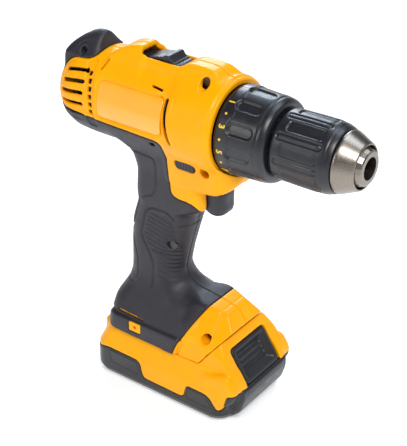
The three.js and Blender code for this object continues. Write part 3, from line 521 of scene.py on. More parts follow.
def ridge_field(grid):
    """The low ridge beside the selector, the hood behind it and the plateau ahead of it."""
    y = np.abs(grid.y)
    low = side_outline(grid, RIDGE_OUTLINE, 4)
    low = meet(low, (y - 10.6 - 0.55 * np.maximum(235 - grid.z, 0)) * 0.88, 3.0)
    hood = side_outline(grid, HOOD_OUTLINE, 2.4)
    hood = meet(hood, (y - 7.6 - 0.7 * np.maximum(240 - grid.z, 0)) * 0.82, 1.6)
    plateau = side_outline(grid, PLATEAU_OUTLINE, 2.4)
    plateau = meet(plateau, (y - 8.4 - 0.6 * np.maximum(238 - grid.z, 0)) * 0.86, 1.4)
    return merge(merge(low, hood, 1.8), plateau, 1.8)


def tool_form(grid):
    """The whole moulded body without openings."""
    barrel = turned_field(grid, BARREL_PROFILE, 2.2, steps=3, reach=62, pitch=0.25)
    handle = meet(handle_field(grid), grid.z - 196, 3)
    flare = 1.5 + 8.5 * smooth_step(grid.z, 60, 70)
    handle = merge(handle, prow_field(grid, FOOT_BOTTOM), flare)
    body = merge(barrel, handle, 5.0)
    body = merge(body, nose_field(grid), 1.6)
    body = merge(body, ridge_field(grid), 2.2)
    bottom = FOOT_BOTTOM + 0.1 - grid.z
    body = meet(body, bottom, 1.2)
    seam = np.where(grid.z > SEAM_END, -FAR, behind_seam(grid, GAP))
    body = meet(body, seam, 0.4)
    radius, _ = grid.around_axis()
    collar = meet(radius - COLLAR_RADIUS, BARREL_FRONT - 0.2 - grid.x)
    return cut(body, collar, 0.5)


def label_distance(grid):
    """Signed distance to the rating label's outline, measured on the barrel's surface."""
    _, turn = grid.around_axis()
    return box_distance(grid.x + 20, np.radians(turn) * 30 - 6.4, 26.2, 13.6, 4.5)


def barrel_details(body, grid):
    """Vents, slots, the label's recess and the lines on the barrel."""
    radius, turn = grid.around_axis()
    arc = np.radians(turn) * 30
    side = np.where(grid.z > AXIS_Z - 16, 0.0, 50.0)

    # the recess around the rear vents, and the vents themselves
    recess = box_distance(grid.x + 68.2, arc - 6, 12.4, 21.5, 9)
    body = raised(body, recess + side, -0.7, 1.6)
    for i, angle in enumerate(VENTS):
        start = -78.5 + 1.1 * abs(i - 2.2)
        rise = np.radians(turn - angle - 3.2 * np.sin((grid.x + 68) / 12)) * radius
        vent = box_distance(grid.x - (start - 57.5) / 2, rise, (-57.5 - start) / 2, 1.25, 1.2)
        body = cut(body, vent, 0.5)

    # the sunk band with its row of small square slots
    lean = -51.2 - 3.8 * np.clip((turn + 8) / 48, -0.2, 1.2) ** 2
    band = box_distance(grid.x - lean, arc - 6.5, 3.6, 24.5, 3)
    body = raised(body, band + side, -0.8, 0.9)
    for i in range(SMALL_SLOTS):
        angle = 40 - 10 * i
        middle = -51.2 - 3.8 * max((angle + 8) / 48, 0) ** 2
        small = box_distance(grid.x - middle, np.radians(turn - angle) * radius, 1.5, 1.6, 0.4)
        body = cut(body, small)

    # the label's recess
    body = raised(body, label_distance(grid), -0.9, 0.7)

    # single slits above the label
    slit_floor = 26.6 - radius
    lean_slit = grid.x + 46.6 - (turn - 55) * 0.16
    slit = box_distance(lean_slit, np.radians(turn - 55) * radius, 0.8, 4.6, 0.7)
    body = cut(body, meet(slit, slit_floor))
    slit = box_distance(grid.x + 2.6, np.radians(turn - 46) * radius + (grid.x + 2.6) * 0.12, 4.6, 0.8, 0.7)
    body = cut(body, meet(slit, slit_floor))

    # the tall arched slot where the motor's housing meets the gear case
    bow = 7.2 + 4.6 * np.clip((36 - turn) / 50, 0, 1.3) ** 2
    bevel = box_distance(grid.x - bow + 2.6, arc - 5.2, 4.6, 16.2, 3.5)
    body = raised(body, bevel, -0.9, 4.0)
    arch = box_distance(grid.x - bow, arc - 5.2, 1.9, 14.6, 1.8)
    body = cut(body, arch, 0.4)

    # step at the gear case's front and its faint panel line
    body = groove(body, np.abs(grid.x - 40.9) + 0 * turn, 1.2, 0.5)
    panel = line_distance(rounded([(14, 20), (14, 12), (37, 12), (37, -14)], 3, closed=False), grid.x, arc)
    body = groove(body, panel, 1.3, 0.28)
    return body


def lower_edge_details(body, grid):
    """The double ridge along the bottom of the yellow barrel."""
    bead = line_distance([(-74, 194.9), (-54, 193.9), (3, 192.8)], grid.x[:, 0], grid.z[0])[:, None, :]
    body = body - 0.9 * np.clip(1 - (bead / 1.1) ** 2, 0, 1)
    return body


def handle_details(body, grid):
    """Panel lines, ribs and grooves of the soft grip."""
    x = grid.x[:, 0]
    z = grid.z[0]
    side = smooth_step(np.abs(grid.y), 5.5, 8.5)

    def line(points, radius, width, depth, field):
        path = line_distance(rounded(points, radius, closed=False), x, z)[:, None, :]
        return field + side * depth * np.clip(1 - (path / (width / 2)) ** 2, 0, 1)

    panel = [
        (-40, 174.6), (-24, 174.2), (-6.6, 173.4), (-9.2, 145.8), (-21.4, 140.6), (-26, 131), (-30.6, 116),
        (-38, 108),
    ]
    body = line(panel, 5, 1.5, 0.9, body)
    rear = [(-39, 112), (-31.6, 105.5), (-26.2, 93), (-25.8, 79), (-28.8, 72.6), (-40, 72)]
    body = line(rear, 6, 1.5, 0.9, body)
    ribs_edge = [
        (4.7, 130.1), (1.2, 134.9), (-13, 134.8), (-17.6, 131), (-22.4, 113), (-20.6, 107), (-15.2, 99),
        (-12.8, 91), (-13, 74),
    ]
    body = line(ribs_edge, 4, 1.5, 1.0, body)

    # the ribs: sharp inside the outlined panel, faint across the lower grip
    upper = [(5, 128), (1, 133), (-13, 133), (-16.5, 130), (-20.4, 113), (-18.4, 107), (-13, 99), (6, 99)]
    panel_area = side_outline(grid, upper, 3)
    lower = [(-10.6, 103), (14, 103), (14, 80), (-10.6, 80)]
    low_area = side_outline(grid, lower, 3)
    wave = 0.5 - 0.5 * np.cos(2 * np.pi * (grid.z + 0.22 * grid.x) / 3.5)
    body = body + side * wave * 0.85 * smooth_step(-panel_area, 0.2, 2.4)
    body = body + side * wave * 0.6 * smooth_step(-low_area, 0.2, 3.0)

    # ring line under the trigger, and small pin marks
    crease = rounded([(4, 122.6), (9, 124.6), (14.4, 126), (22, 131)], 4, closed=False)
    ring = line_distance(crease, x, z)[:, None, :]
    body = body + 0.7 * np.clip(1 - (ring / 0.7) ** 2, 0, 1) * smooth_step(grid.x, 4, 8)
    pin = np.sqrt((grid.x + 7.6) ** 2 + (grid.z - 110.6) ** 2)
    body = body + side * 0.8 * np.clip(1 - (pin / 0.9) ** 2, 0, 1)
    notch = box_distance(grid.x + 3.5, grid.z - 186.6, 2.0, 1.2, 0.5)
    body = cut(body, meet(notch, 17 - np.abs(grid.y)))
    return body


def foot_details(body, grid):
    """The raised side plates of the foot, the slit above them and the belt hook's seat."""
    plate = side_outline(grid, [(-42.5, 51.4), (-42.5, 38.9), (17.6, 37.6), (20.6, 51.4)], 4)
    side = smooth_step(np.abs(grid.y), 22, 25)
    body = body - side * 1.4 * smooth_step(-plate, -0.4, 0.5)
    edge = np.abs(plate - 0.7)
    body = body + side * 0.8 * np.clip(1 - (edge / 1.0) ** 2, 0, 1)
    slit = side_outline(grid, [(-33.5, 53.4), (-12, 52.2), (-12, 53.6), (-33.5, 54.8)])
    body = cut(body, meet(slit, 26 - np.abs(grid.y)))
    seat_x, seat_z, half_x, half_z = HOOK
    seat = box_distance(grid.x - seat_x, grid.z - seat_z, half_x + 0.3, half_z + 0.3, 0.8)
    return cut(body, meet(seat, 27 - np.abs(grid.y)))


def bumper_details(body, grid):
    """The raised hump on the rear bumper, with a small arc moulded on its side."""
    outline = side_outline(grid, BUMP_OUTLINE, 4)
    half = 4.4 + 0.86 * np.clip(240 - grid.z, 0, 13.4)
    hump = meet(outline, (np.abs(grid.y) - half) * 0.76, 3.5)
    body = merge(body, hump, 3)
    ring = np.abs(np.sqrt((grid.x + 67.5) ** 2 + (grid.z - 229) ** 2) - 5.2)
    return groove(body, ring + np.where((grid.y < 0) & (grid.z > 230), 0.0, 9.0), 0.9, 0.3)


def openings(body, grid, right):
    """Cuts every hole that shows, on the right half or its mirror."""
    y = np.abs(grid.y)
    x, z, half_x, half_z = BUTTON
    body = cut(body, box_distance(grid.x - x, grid.z - z, half_x + 0.35, half_z + 0.35, half_z + 0.3), 0.5)
    rear, front, half, floor = WINDOW
    flared = half + 0.5 * np.maximum(grid.z - 234, 0)
    window = box_distance(grid.x - (rear + front) / 2, grid.y * half / flared, (front - rear) / 2, half, 2.6)
    window = meet(window, floor - grid.z)
    rear, front, roof = POCKET
    pocket = box_distance(grid.x - (rear + front) / 2, grid.y, (front - rear) / 2, half, 1.0)
    pocket = meet(pocket, np.maximum(floor - grid.z, grid.z - roof))
    body = cut(cut(body, window, 0.5), pocket)
    trigger = meet(box_distance(grid.x - 25.5, grid.z - 149.3, 15.5, 12.7, 3), y - 9.7)
    body = cut(body, trigger, 0.5)
    lamp_x, lamp_z, tilt = 47.4, 166.4, 0.7
    along = (grid.x - lamp_x) * math.cos(tilt) - (grid.z - lamp_z) * math.sin(tilt)
    across = (grid.x - lamp_x) * math.sin(tilt) + (grid.z - lamp_z) * math.cos(tilt)
    lamp = meet(np.sqrt(across**2 + grid.y**2) - 2.9, -4 - along)
    body = cut(body, lamp, 0.3)
    if right:
        for screw_x, screw_z, depth in SCREWS.values():
            hole = np.sqrt((grid.x - screw_x) ** 2 + (grid.z - screw_z) ** 2) - SCREW_HOLE
            hole = meet(hole, depth - y)
            body = cut(body, hole, 0.5)
    return body


def rooms(form, grid):
    """The empty space inside the shells, for the motor, the switch and the battery's rails."""
    radius, _ = grid.around_axis()
    barrel = meet(radius - 27.0, -83.6 - grid.x)
    inner = meet(np.minimum(barrel, meet(np.abs(grid.y) - 12.5, 58 - grid.z)), form + WALL + 0.6)
    ahead = meet(radius - 27.0, -grid.x)
    rails = meet(meet(box_distance(grid.x - 192.5, grid.y, 227.5, 22), 43.6 - grid.z), grid.z - 51)
    neck = meet(meet(box_distance(grid.x - 192.5, grid.y, 227.5, 18.4), -grid.z), grid.z - 44)
    terminals = meet(box_distance(grid.x + 17.6, grid.z - 52.9, 17.6, 9.2), np.abs(grid.y) - 12.6)
    space = np.minimum(np.minimum(inner, ahead), np.minimum(rails, neck))
    return np.minimum(space, terminals)


def make_shells():
    """Right and left halves of the housing and its soft grip, and the rear bumper."""
    grid = Grid((-89.5, -37.5, 36.5), (56.5, 1.2, 243.5))
    form = tool_form(grid)
    space = rooms(form, grid)
    detailed = barrel_details(form, grid)
    detailed = lower_edge_details(detailed, grid)
    detailed = foot_details(handle_details(detailed, grid), grid)
    grip_zone = side_outline(grid, GRIP_OUTLINE, 4.5)
    bumper_zone = side_outline(grid, BUMPER_OUTLINE, 5)
    half = grid.y + GAP
    for right in (True, False):
        side = "right" if right else "left"
        body = openings(detailed, grid, right)
        hollow = cut(body, space)
        outside = np.minimum(grip_zone, bumper_zone) - GAP
        shell = meet(hollow, -outside, 0.5)
        shell = meet(shell, half)
        place_field(shell, grid, f"shell_{side}", "tool_body", "yellow_plastic", [f"housing_{side}"],
                    mirrored=not right)
        grip = meet(hollow, grip_zone + GAP, 0.6)
        grip = meet(grip, half)
        place_field(grip, grid, f"grip_skin_{side}", "tool_body", "soft_grip", [f"grip_{side}"],
                    mirrored=not right)
    make_bumper()


def make_bumper():
    """One piece across both halves, with the rear screw's hole on the right."""
    grid = Grid((-90, -33, 186), (-50, 33, 243.5))
    form = tool_form(grid)
    body = bumper_details(form, grid)
    zone = side_outline(grid, BUMPER_OUTLINE, 5)
    body = meet(body, zone + GAP, 0.7)
    radius, _ = grid.around_axis()
    body = cut(body, meet(meet(radius - 26.6, -84.6 - grid.x), form + WALL))
    screw_x, screw_z, depth = SCREWS["rear"]
    hole = np.sqrt((grid.x - screw_x) ** 2 + (grid.z - screw_z) ** 2) - REAR_SCREW_HOLE
    hole = meet(hole, grid.y + depth)
    body = cut(body, hole, 0.6)
    place_field(body, grid, "bumper_skin", "tool_body", "soft_grip", ["rear_bumper"])


# ---- collar and chuck ----
def full_turn(grid):
    """Angle about the axis in degrees, 0 at the right side and 90 on top."""
    return np.degrees(np.arctan2(grid.z - AXIS_Z, -grid.y)) + 0 * grid.x


def repeated(turn, count, first):
    """Angle from the nearest of count evenly spaced places."""
    pitch = 360 / count
    return (turn - first + pitch / 2) % pitch - pitch / 2


def make_collar():
    """The torque collar: a band for the numbers, then thumb scallops with ridges between."""
    grid = Grid((42.6, -30, AXIS_Z - 30), (78.8, 30, AXIS_Z + 30), 0.5)
    radius, _ = grid.around_axis()
    turn = full_turn(grid)
    body = turned_field(grid, [
        (43.8, 15), (43.8, 27.4), (46, 28.0), (52.4, 28.2), (53.4, 27.8), (56, 27.6), (70.4, 27),
        (74.6, 26.3), (76.8, 25.2), (77.7, 23.8), (77.7, 15),
    ])
    around = np.radians(repeated(turn, SCALLOPS, DIAL_ONE)) * 27
    scallop = box_distance(grid.x - 60.8, around, 8.8, 3.7, 3.6)
    body = body + 1.25 * smooth_step(-scallop, -0.5, 0.9)
    between = np.radians(repeated(turn, SCALLOPS, DIAL_ONE + 180 / SCALLOPS)) * 27
    rear_line = box_distance(grid.x - 53.6, between, 0.35, 2.6, 0.3)
    body = raised(body, rear_line, 0.45, 0.5)
    body = groove(body, np.abs(grid.x - 72.4) + 0 * turn, 0.8, 0.25)
    hollow = np.where(grid.x < 66, radius - 24.4, radius - 19.6)
    body = meet(body, -hollow, 0.2)
    place_field(body, grid, "collar_skin", "torque_collar", "collar_plastic", ["torque_ring"])


def wrapped_mark(mark, radius, x, angle):
    """Wraps a flat mark, drawn in millimetres about its middle, on to the collar."""
    for vertex in mark.vertices:
        across, along = vertex.co.x, vertex.co.y
        turn = math.radians(angle) - across / radius
        reach = radius + 0.05 + (0.12 if vertex.co.z > 0 else -0.35)
        vertex.co = (
            (x + along) * MM, -reach * math.cos(turn) * MM, (AXIS_Z + reach * math.sin(turn)) * MM,
        )
    return mark


def digit_mesh(text, size):
    curve = bpy.data.curves.new("digit", "FONT")
    curve.body = text
    curve.size = size
    curve.align_x = "CENTER"
    curve.align_y = "CENTER"
    curve.extrude = 0.2
    curve.offset = 0.16
    thing = bpy.data.objects.new("digit", curve)
    bpy.context.scene.collection.objects.link(thing)
    bpy.context.view_layer.update()
    mesh = bpy.data.meshes.new_from_object(thing.evaluated_get(bpy.context.evaluated_depsgraph_get()))
    bpy.data.objects.remove(thing)
    return mesh


def disc_mesh(radius):
    form = bmesh.new()
    bmesh.ops.create_cone(form, cap_ends=True, segments=20, radius1=radius, radius2=radius * 0.9, depth=0.4)
    mesh = bpy.data.meshes.new("dot")
    form.to_mesh(mesh)
    form.free()
    return mesh


def bit_mesh():
    """A small generic drill bit, for the position without a torque limit."""
    form = bmesh.new()
    for low, high, half in ((-2.4, -0.9, 0.42), (-0.9, 1.6, 0.75), (1.6, 2.4, 0.3)):
        made = bmesh.ops.create_cube(form, size=1.0)
        for vertex in made["verts"]:
            along = (low + high) / 2 + vertex.co.y * (high - low)
            vertex.co = (vertex.co.x * 2 * half, along, vertex.co.z * 0.4)
    mesh = bpy.data.meshes.new("bit")
    form.to_mesh(mesh)
    form.free()
    return mesh


def joined_mesh(meshes, name):
    form = bmesh.new()
    for mesh in meshes:
        form.from_mesh(mesh)
        bpy.data.meshes.remove(mesh)
    bmesh.ops.recalc_face_normals(form, faces=form.faces)
    made = bpy.data.meshes.new(name)
    form.to_mesh(made)
    form.free()
    return made


def make_dial():
    """Numbers and dots around the collar's rear band."""
    step = 180 / SCALLOPS
    marks = []
    for i in range(DIAL_NUMBERS):
        angle = DIAL_ONE - 2 * step * i
        marks.append(wrapped_mark(digit_mesh(str(2 * i + 1), 5.6), DIAL_RADIUS, 48.7, angle))
        if i < DIAL_NUMBERS - 1:
            marks.append(wrapped_mark(disc_mesh(0.85), DIAL_RADIUS, 48.9, angle - step))
    place_piece(joined_mesh(marks, "dial_numbers"), "dial_numbers", "torque_collar", "yellow_plastic",
                material=dial_yellow)
    bit = wrapped_mark(bit_mesh(), DIAL_RADIUS, 48.7, DIAL_ONE + 2 * step)
    place_piece(joined_mesh([bit], "dial_drill_mark"), "dial_drill_mark", "torque_collar", "bright_steel",
                material=dial_white)


def make_sleeve():
    """The chuck's keyless sleeve, with long sunk panels and narrow ribs."""
    grid = Grid((77.6, -24, AXIS_Z - 24), (120.6, 24, AXIS_Z + 24), 0.45)
    turn = full_turn(grid)
    body = turned_field(grid, [
        (78.5, 12.4), (78.5, 20.6), (80.4, 22), (96, 22.3), (108, 22.3), (114, 21.5), (118, 20.2),
        (119.2, 19.4), (119.2, 18.7), (83, 18.7), (83, 12.4),
    ], 0.9)
    bulge = np.interp(grid.x, [80, 108, 120], [22, 22.3, 20])
    panel = box_distance(grid.x - 98.6, np.radians(repeated(turn, SLEEVE_RIBS, 17)) * bulge, 12.6, 4.1, 2.2)
    body = body + 0.75 * smooth_step(-panel, -0.3, 0.7)
    beside = np.radians(repeated(turn, SLEEVE_RIBS, 37)) * bulge
    rib = np.abs(box_distance(grid.x - 97, beside, 14.2, 1.25, 1.2) - 0.5)
    body = body + 0.6 * np.clip(1 - (rib / 0.75) ** 2, 0, 1)
    body = groove(body, np.abs(grid.x - 115.4) + 0 * turn, 0.9, 0.25)
    place_field(body, grid, "sleeve_skin", "chuck_sleeve_body", "collar_plastic", ["chuck_sleeve"])


def lathe(name, profile, segments=120):
    """A smooth closed ring turned about the motor axis, with small bevels on its corners."""
    outline = rounded(profile, 0.35, steps=2)
    form = bmesh.new()
    rings = []
    for i in range(segments):
        turn = 2 * math.pi * i / segments
        y, z = math.cos(turn) * MM, math.sin(turn) * MM
        rings.append([form.verts.new((x * MM, r * y, AXIS_Z * MM + r * z)) for x, r in outline])
    for ring, after in zip(rings, rings[1:] + rings[:1]):
        for k in range(len(outline)):
            j = (k + 1) % len(outline)
            form.faces.new((ring[k], ring[j], after[j], after[k]))
    bmesh.ops.recalc_face_normals(form, faces=form.faces)
    for edge in form.edges:
        edge.smooth = edge.calc_face_angle(0) < math.radians(35)
    mesh = bpy.data.meshes.new(name)
    form.to_mesh(mesh)
    form.free()
    mesh.shade_smooth()
    return mesh


def make_chuck_metal():
    """The steel nose cone."""
    cone = lathe("cone_skin", [
        (119.6, 14), (119.6, 19.1), (120.8, 19.3), (122.4, 18.7), (131.2, 14.7), (132.1, 14.1), (132.1, 13.3),
        (122, 13.3),
    ])
    place_piece(cone, "cone_skin", "chuck_sleeve_body", "nose_steel", ["chuck_front_cone"])


# ---- trigger, button, selector and small parts of the tool ----
def make_trigger():
    grid = Grid((12.6, -9.6, 132), (40.4, 9.6, 162), 0.45)
    outline = side_outline(grid, TRIGGER_OUTLINE, 5.5)
    half = 8.9 - 0.035 * np.maximum(grid.x - 30, 0) ** 2
    body = meet(outline, np.abs(grid.y) - half, 4.6)
    dish = np.sqrt((grid.x - 52) ** 2 + ((grid.z - 150) * 0.8) ** 2) - 13.2
    body = cut(body, dish, 2.5)
    spring_z, spring_radius, spring_end = TRIGGER_SPRING
    spring_room = meet(np.sqrt(grid.y**2 + (grid.z - spring_z) ** 2) - spring_radius, grid.x - spring_end)
    body = cut(body, spring_room)
    place_field(body, grid, "trigger_skin", "trigger_body", "trigger_plastic", ["trigger"])


def make_reversing_button():
    x, z, half_x, half_z = BUTTON
    grid = Grid((x - 9, -22.6, z - 4.2), (x + 9, 22.6, z + 4.2), 0.4)
    oval = box_distance(grid.x - x, grid.z - z, half_x, half_z, half_z - 0.05)
    body = meet(oval + 0 * grid.y, np.abs(grid.y) - 21.9, 0.9)
    ridges = 0.35 * (0.5 + 0.5 * np.cos(2 * np.pi * (grid.x - x) / 2.4))
    ridges = ridges * smooth_step(np.abs(grid.y), 21, 21.6)
    body = body + ridges * smooth_step(-oval, 0.6, 1.4)
    place_field(body, grid, "reversing_bar_skin",
                "reversing_bar", "trigger_plastic", ["forward_reverse_button"])


def make_selector():
    low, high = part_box("selector_slide")
    rear, front = low.x / MM - 6.4, high.x / MM - 0.2
    grid = Grid((rear - 0.8, -8.6, low.z / MM - 0.8), (front + 0.8, 8.6, 240), 0.4)
    bump_x = -5.2
    places = [rear, rear + 5, bump_x - 3, bump_x - 1.4, bump_x + 1.4, bump_x + 3, bump_x + 6, front]
    heights = [233.2, 233.8, 237.4, 238.5, 238.5, 236.2, 234.4, 233.4]
    top = np.interp(grid.x, places, heights)
    away = np.abs(grid.x - bump_x)
    ridges = 0.5 * (0.5 + 0.5 * np.cos(2 * np.pi * (grid.x - bump_x) / 2.2))
    top = top - ridges * smooth_step(away, 2.4, 3.4) * smooth_step(-away, -8, -6)
    plate = meet(box_distance(grid.x - (rear + front) / 2, grid.y, (front - rear) / 2, 7.5, 1.2),
                 np.maximum(grid.z - top, 231.9 - grid.z), 0.5)
    finger = box_distance(grid.x - 1.1, grid.y, 0.9, 2.8, 0.4)
    finger = meet(finger, np.maximum(low.z / MM - grid.z, grid.z - 232.4))
    body = np.minimum(plate, finger)
    place_field(body, grid, "selector_skin", "speed_selector", "trigger_plastic", ["selector_slide"])


def make_selector_bed():
    """The dark liner under the selector's plate."""
    rear, front, _ = POCKET
    grid = Grid((rear - 0.4, -8.8, 230), (front + 0.4, 8.8, 232.4), 0.4)
    body = meet(box_distance(grid.x - (rear + front) / 2, grid.y, (front - rear) / 2 - 0.1, 8.15, 0.8),
                np.abs(grid.z - 231.2) - 0.45, 0.2)
    place_field(body, grid, "selector_bed", "tool_body", "black_plastic")


def make_foot_trim():
    """The yellow belt hook seats and the yellow strips that show in the slits above them."""
    x, z, half_x, half_z = HOOK
    for right in (True, False):
        side = "right" if right else "left"
        grid = Grid((-36, -34.5, 40), (-9, -25, 57), 0.35)
        seat = box_distance(grid.x - x, grid.z - z, half_x, half_z, 0.8)
        seat = meet(seat, np.abs(grid.y + 29.9) - 2.8, 0.4)
        hole = np.sqrt((grid.x - x) ** 2 + (grid.z - z) ** 2) - 1.3
        seat = cut(seat, meet(hole, grid.y + 29.4), 0.3)
        outline = [(-34.5, 52.4), (-10.8, 51.2), (-10.8, 53.1), (-34.5, 54.3)]
        strip = side_outline(grid, outline)
        strip = meet(strip, np.abs(grid.y + 27.2) - 1.4)
        body = np.minimum(seat, strip)
        place_field(body, grid, f"foot_trim_{side}", "tool_body", "yellow_plastic", mirrored=not right)


# ---- battery ----
def slope_axes(grid):
    """Coordinates on the latch's sloping face: up the slope, and out of it."""
    x, z = LATCH_MIDDLE
    out_x, out_z = LATCH_OUT
    dx, dz = grid.x - x, grid.z - z
    return -out_z * dx + out_x * dz, out_x * dx + out_z * dz


def battery_form(grid):
    """Both halves of the battery's case as one form."""
    y = np.abs(grid.y)
    inset = np.interp(grid.z, [0, 2.2, 6, 20, 23.5, 38.2], [5, 1.6, 0, 0, 0.5, 6.4])
    plan = box_distance(grid.x - 3.6, grid.y, 56.8 - inset, 36.5 - inset, 12)
    lower = meet(meet(plan, grid.z - 38, 1.0), -grid.z, 1.0)
    lobe = side_outline(grid, LOBE_OUTLINE, 4)
    body = merge(lower, meet(lobe, y - 35.2, 4.5), 4.0)
    rear = meet(box_distance(grid.x + 44, grid.y, 7.4, 25, 4), np.maximum(grid.z - 38, 15 - grid.z), 2.5)
    body = merge(body, rear, 2.0)
    _, out = slope_axes(grid)
    block = meet(prow_field(grid, 20), out, 1.2)
    block = meet(block, box_distance(grid.x - 20, grid.y, 49.3, 29.6, 12), 1.0)
    body = merge(body, block, 2.5)
    ahead = np.minimum(GAP - behind_seam(grid, 0), grid.z - 38)
    body = meet(body, y - BATTERY_SIDE, 0.5)
    return meet(body, ahead, 0.4)


def battery_room(grid):
    plan = box_distance(grid.x - 1.5, grid.y, 51.3, 33.6, 5)
    high = np.interp(grid.z, [0, 22.9, 35.6], [0, 0, 7])
    room = meet(plan + high, np.maximum(2.6 - grid.z, grid.z - 35.6))
    cable = meet(box_distance(grid.x + 1, grid.y, 23, 13), np.maximum(30 - grid.z, grid.z - 39))
    return np.minimum(room, cable)


def make_battery():
    grid = Grid((-54.6, -37.8, -1.2), (71.4, 37.8, 62.8))
    body = battery_form(grid)
    y = np.abs(grid.y)
    up, out = slope_axes(grid)
    lip = side_outline(grid, LIP_OUTLINE, 2.5)
    lip = meet(lip, y - 26.5, 2.5)
    zone = side_outline(grid, TRAY_ZONE, 3.0)
    room = battery_room(grid)

    tray = meet(body, zone + GAP, 0.5)
    tray = merge(tray, lip, 1.2)
    tray = cut(tray, room)
    for panel in LABEL_PANELS:
        inset = side_outline(grid, panel, 1.2)
        tray = raised(tray, inset + np.where(y > 30, 0.0, 50.0), -0.6, 0.6)
    lower_line = np.abs(grid.z - 7.2) + 0 * grid.x
    tray = groove(tray, lower_line, 0.9, 0.35)
    place_field(tray, grid, "tray_skin", "battery_pack", "tray_plastic", ["battery_tray"])

    cover = meet(body, GAP - zone, 0.5)
    latch_hole = meet(box_distance(up + 2.4, grid.y, 11.6 + 4.6, 19.7, 3.2), -13 - out)
    cover = cut(cover, latch_hole, 0.5)
    cover = cut(cover, lip - 0.4)
    cover = cut(cover, room)
    place_field(cover, grid, "cover_skin", "battery_pack", "yellow_plastic", ["battery_cover"])


def make_labels():
    """Blank grey label plates, set in the tray's sides."""
    for side in (-1, 1):
        for i, panel in enumerate(LABEL_PANELS):
            xs = [p[0] for p in panel]
            zs = [p[1] for p in panel]
            low_y, high_y = (-36.4, -35.3) if side < 0 else (35.3, 36.4)
            low = (min(xs) - 0.7, low_y - 0.7, min(zs) - 0.7)
            high = (max(xs) + 0.7, high_y + 0.7, max(zs) + 0.7)
            grid = Grid(low, high, 0.3)
            plate = side_outline(grid, panel, 1.2)
            body = meet(plate + 0.25, np.abs(grid.y - (low_y + high_y) / 2) - 0.45, 0.2)
            name = f"label_plate_{'right' if side < 0 else 'left'}_{i + 1}"
            place_field(body, grid, name, "battery_pack", "tray_plastic", material=panel_grey)


def make_rating_labels():
    """Blank glossy films in the barrel's two label recesses."""
    for right in (True, False):
        side = "right" if right else "left"
        grid = Grid((-48, -31, 190), (8, -14, 226), 0.4)
        radius, _ = grid.around_axis()
        film = meet(label_distance(grid) + 1.0, np.abs(radius - 28.9) - 0.5, 0.2)
        place_field(film, grid, f"rating_label_{side}",
                    "tool_body", "yellow_plastic", material=label_film, mirrored=not right)


def make_latch():
    """The latch button: a framed dish with mitred walls and finger ribs."""
    grid = Grid((47, -20, 22), (72, 20, 54), 0.4)
    up, out = slope_axes(grid)
    plan = box_distance(up, grid.y, 13.1, 19.1, 3.4)
    body = meet(plan, np.abs(out + 3) - 3, 1.3)
    dish = box_distance(up - 0.3, grid.y, 10.2, 15.8, 2.0)
    depth = np.clip(-dish * 0.95, 0, 4.0)
    ribs = 0.9 * (0.5 + 0.5 * np.cos(2 * np.pi * (up + 0.4) / 3.9)) * smooth_step(-dish, 3.0, 4.2)
    body = meet(body, out + depth - ribs * smooth_step(-up, -5.5, -4), 0.4)
    body = meet(body, -6.0 - out)
    place_field(body, grid, "latch_skin", "battery_latch", "latch_plastic", ["battery_latch_button"])


# ---- stage ----
def look_from(target, azimuth, elevation, distance):
    turn = math.radians(azimuth)
    rise = math.radians(elevation)
    back = Vector((math.cos(rise) * math.cos(turn), math.cos(rise) * math.sin(turn), math.sin(rise)))
    return Vector(target) + back * distance, back


def make_camera():
    place, back = look_from(CAMERA_TARGET, CAMERA_AZIMUTH, CAMERA_ELEVATION, CAMERA_DISTANCE)
    data = bpy.data.cameras.new("camera")
    camera = bpy.data.objects.new("camera", data)
    bpy.context.scene.collection.objects.link(camera)
    camera.location = place
    camera.rotation_mode = "QUATERNION"
    camera.rotation_quaternion = (-back).to_track_quat("-Z", "Y")
    data.lens = CAMERA_LENS
    data.sensor_width = 36
    data.sensor_height = 36
    data.shift_y = CAMERA_SHIFT
    data.clip_start = 0.01
    bpy.context.scene.camera = camera


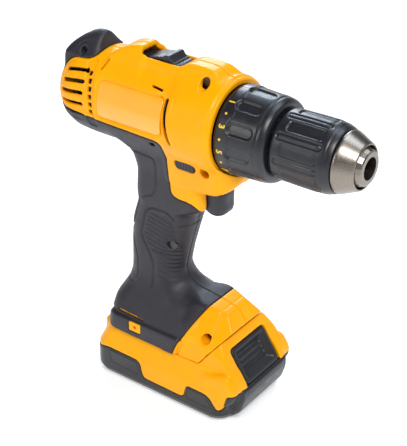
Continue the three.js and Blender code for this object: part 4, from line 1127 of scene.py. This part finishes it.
def area_light(name, target, azimuth, elevation, distance, size, power, colour=(1, 1, 1)):
    place, back = look_from(target, azimuth, elevation, distance)
    data = bpy.data.lights.new(name, "AREA")
    data.shape = "RECTANGLE"
    data.size, data.size_y = size
    data.energy = power
    data.color = colour
    light = bpy.data.objects.new(name, data)
    bpy.context.scene.collection.objects.link(light)
    light.location = place
    light.rotation_mode = "QUATERNION"
    light.rotation_quaternion = (-back).to_track_quat("-Z", "Y")


def make_stage():
    """A white sweep, soft lamps and a bright white surround."""
    scene = bpy.context.scene
    scene.view_settings.view_transform = "Standard"
    world = bpy.data.worlds.new("studio")
    scene.world = world
    world.use_nodes = True
    world.node_tree.nodes["Background"].inputs["Color"].default_value = (1, 1, 1, 1)
    world.node_tree.nodes["Background"].inputs["Strength"].default_value = 0.12

    material, tree, surface = shader("studio_floor", 0.6)
    pale = ramp(tree, noise(tree, 3), [(0.3, grey(0.86)), (0.7, grey(0.9))])
    tree.links.new(pale, surface.inputs["Base Color"])
    surface.inputs["Emission Color"].default_value = (1, 1, 1, 1)
    surface.inputs["Emission Strength"].default_value = 0.42
    mesh = bpy.data.meshes.new("studio_floor")
    form = bmesh.new()
    bmesh.ops.create_grid(form, x_segments=24, y_segments=24, size=3.0)
    for vertex in form.verts:
        away = max(vertex.co.length - 2.0, 0)
        vertex.co.z = 0.6 * away * away
    form.to_mesh(mesh)
    form.free()
    mesh.shade_smooth()
    floor = bpy.data.objects.new("studio_floor", mesh)
    scene.collection.objects.link(floor)
    mesh.materials.append(material)

    middle = (0.02, 0, 0.12)
    cool = (0.76, 0.86, 1.0)
    area_light("key", middle, -36, 52, 1.4, (0.5, 0.5), 12)
    area_light("side", middle, -112, 30, 1.5, (0.3, 0.6), 4)
    area_light("rim", middle, 130, 30, 1.5, (0.7, 0.6), 12, cool)
    area_light("top", middle, 70, 66, 1.3, (0.7, 0.6), 6, cool)


make_camera()
make_stage()
dress_cad_nodes()
make_shells()
make_foot_trim()
make_collar()
make_dial()
make_sleeve()
make_chuck_metal()
make_trigger()
make_reversing_button()
make_selector()
make_selector_bed()
make_battery()
make_labels()
make_rating_labels()
make_latch()
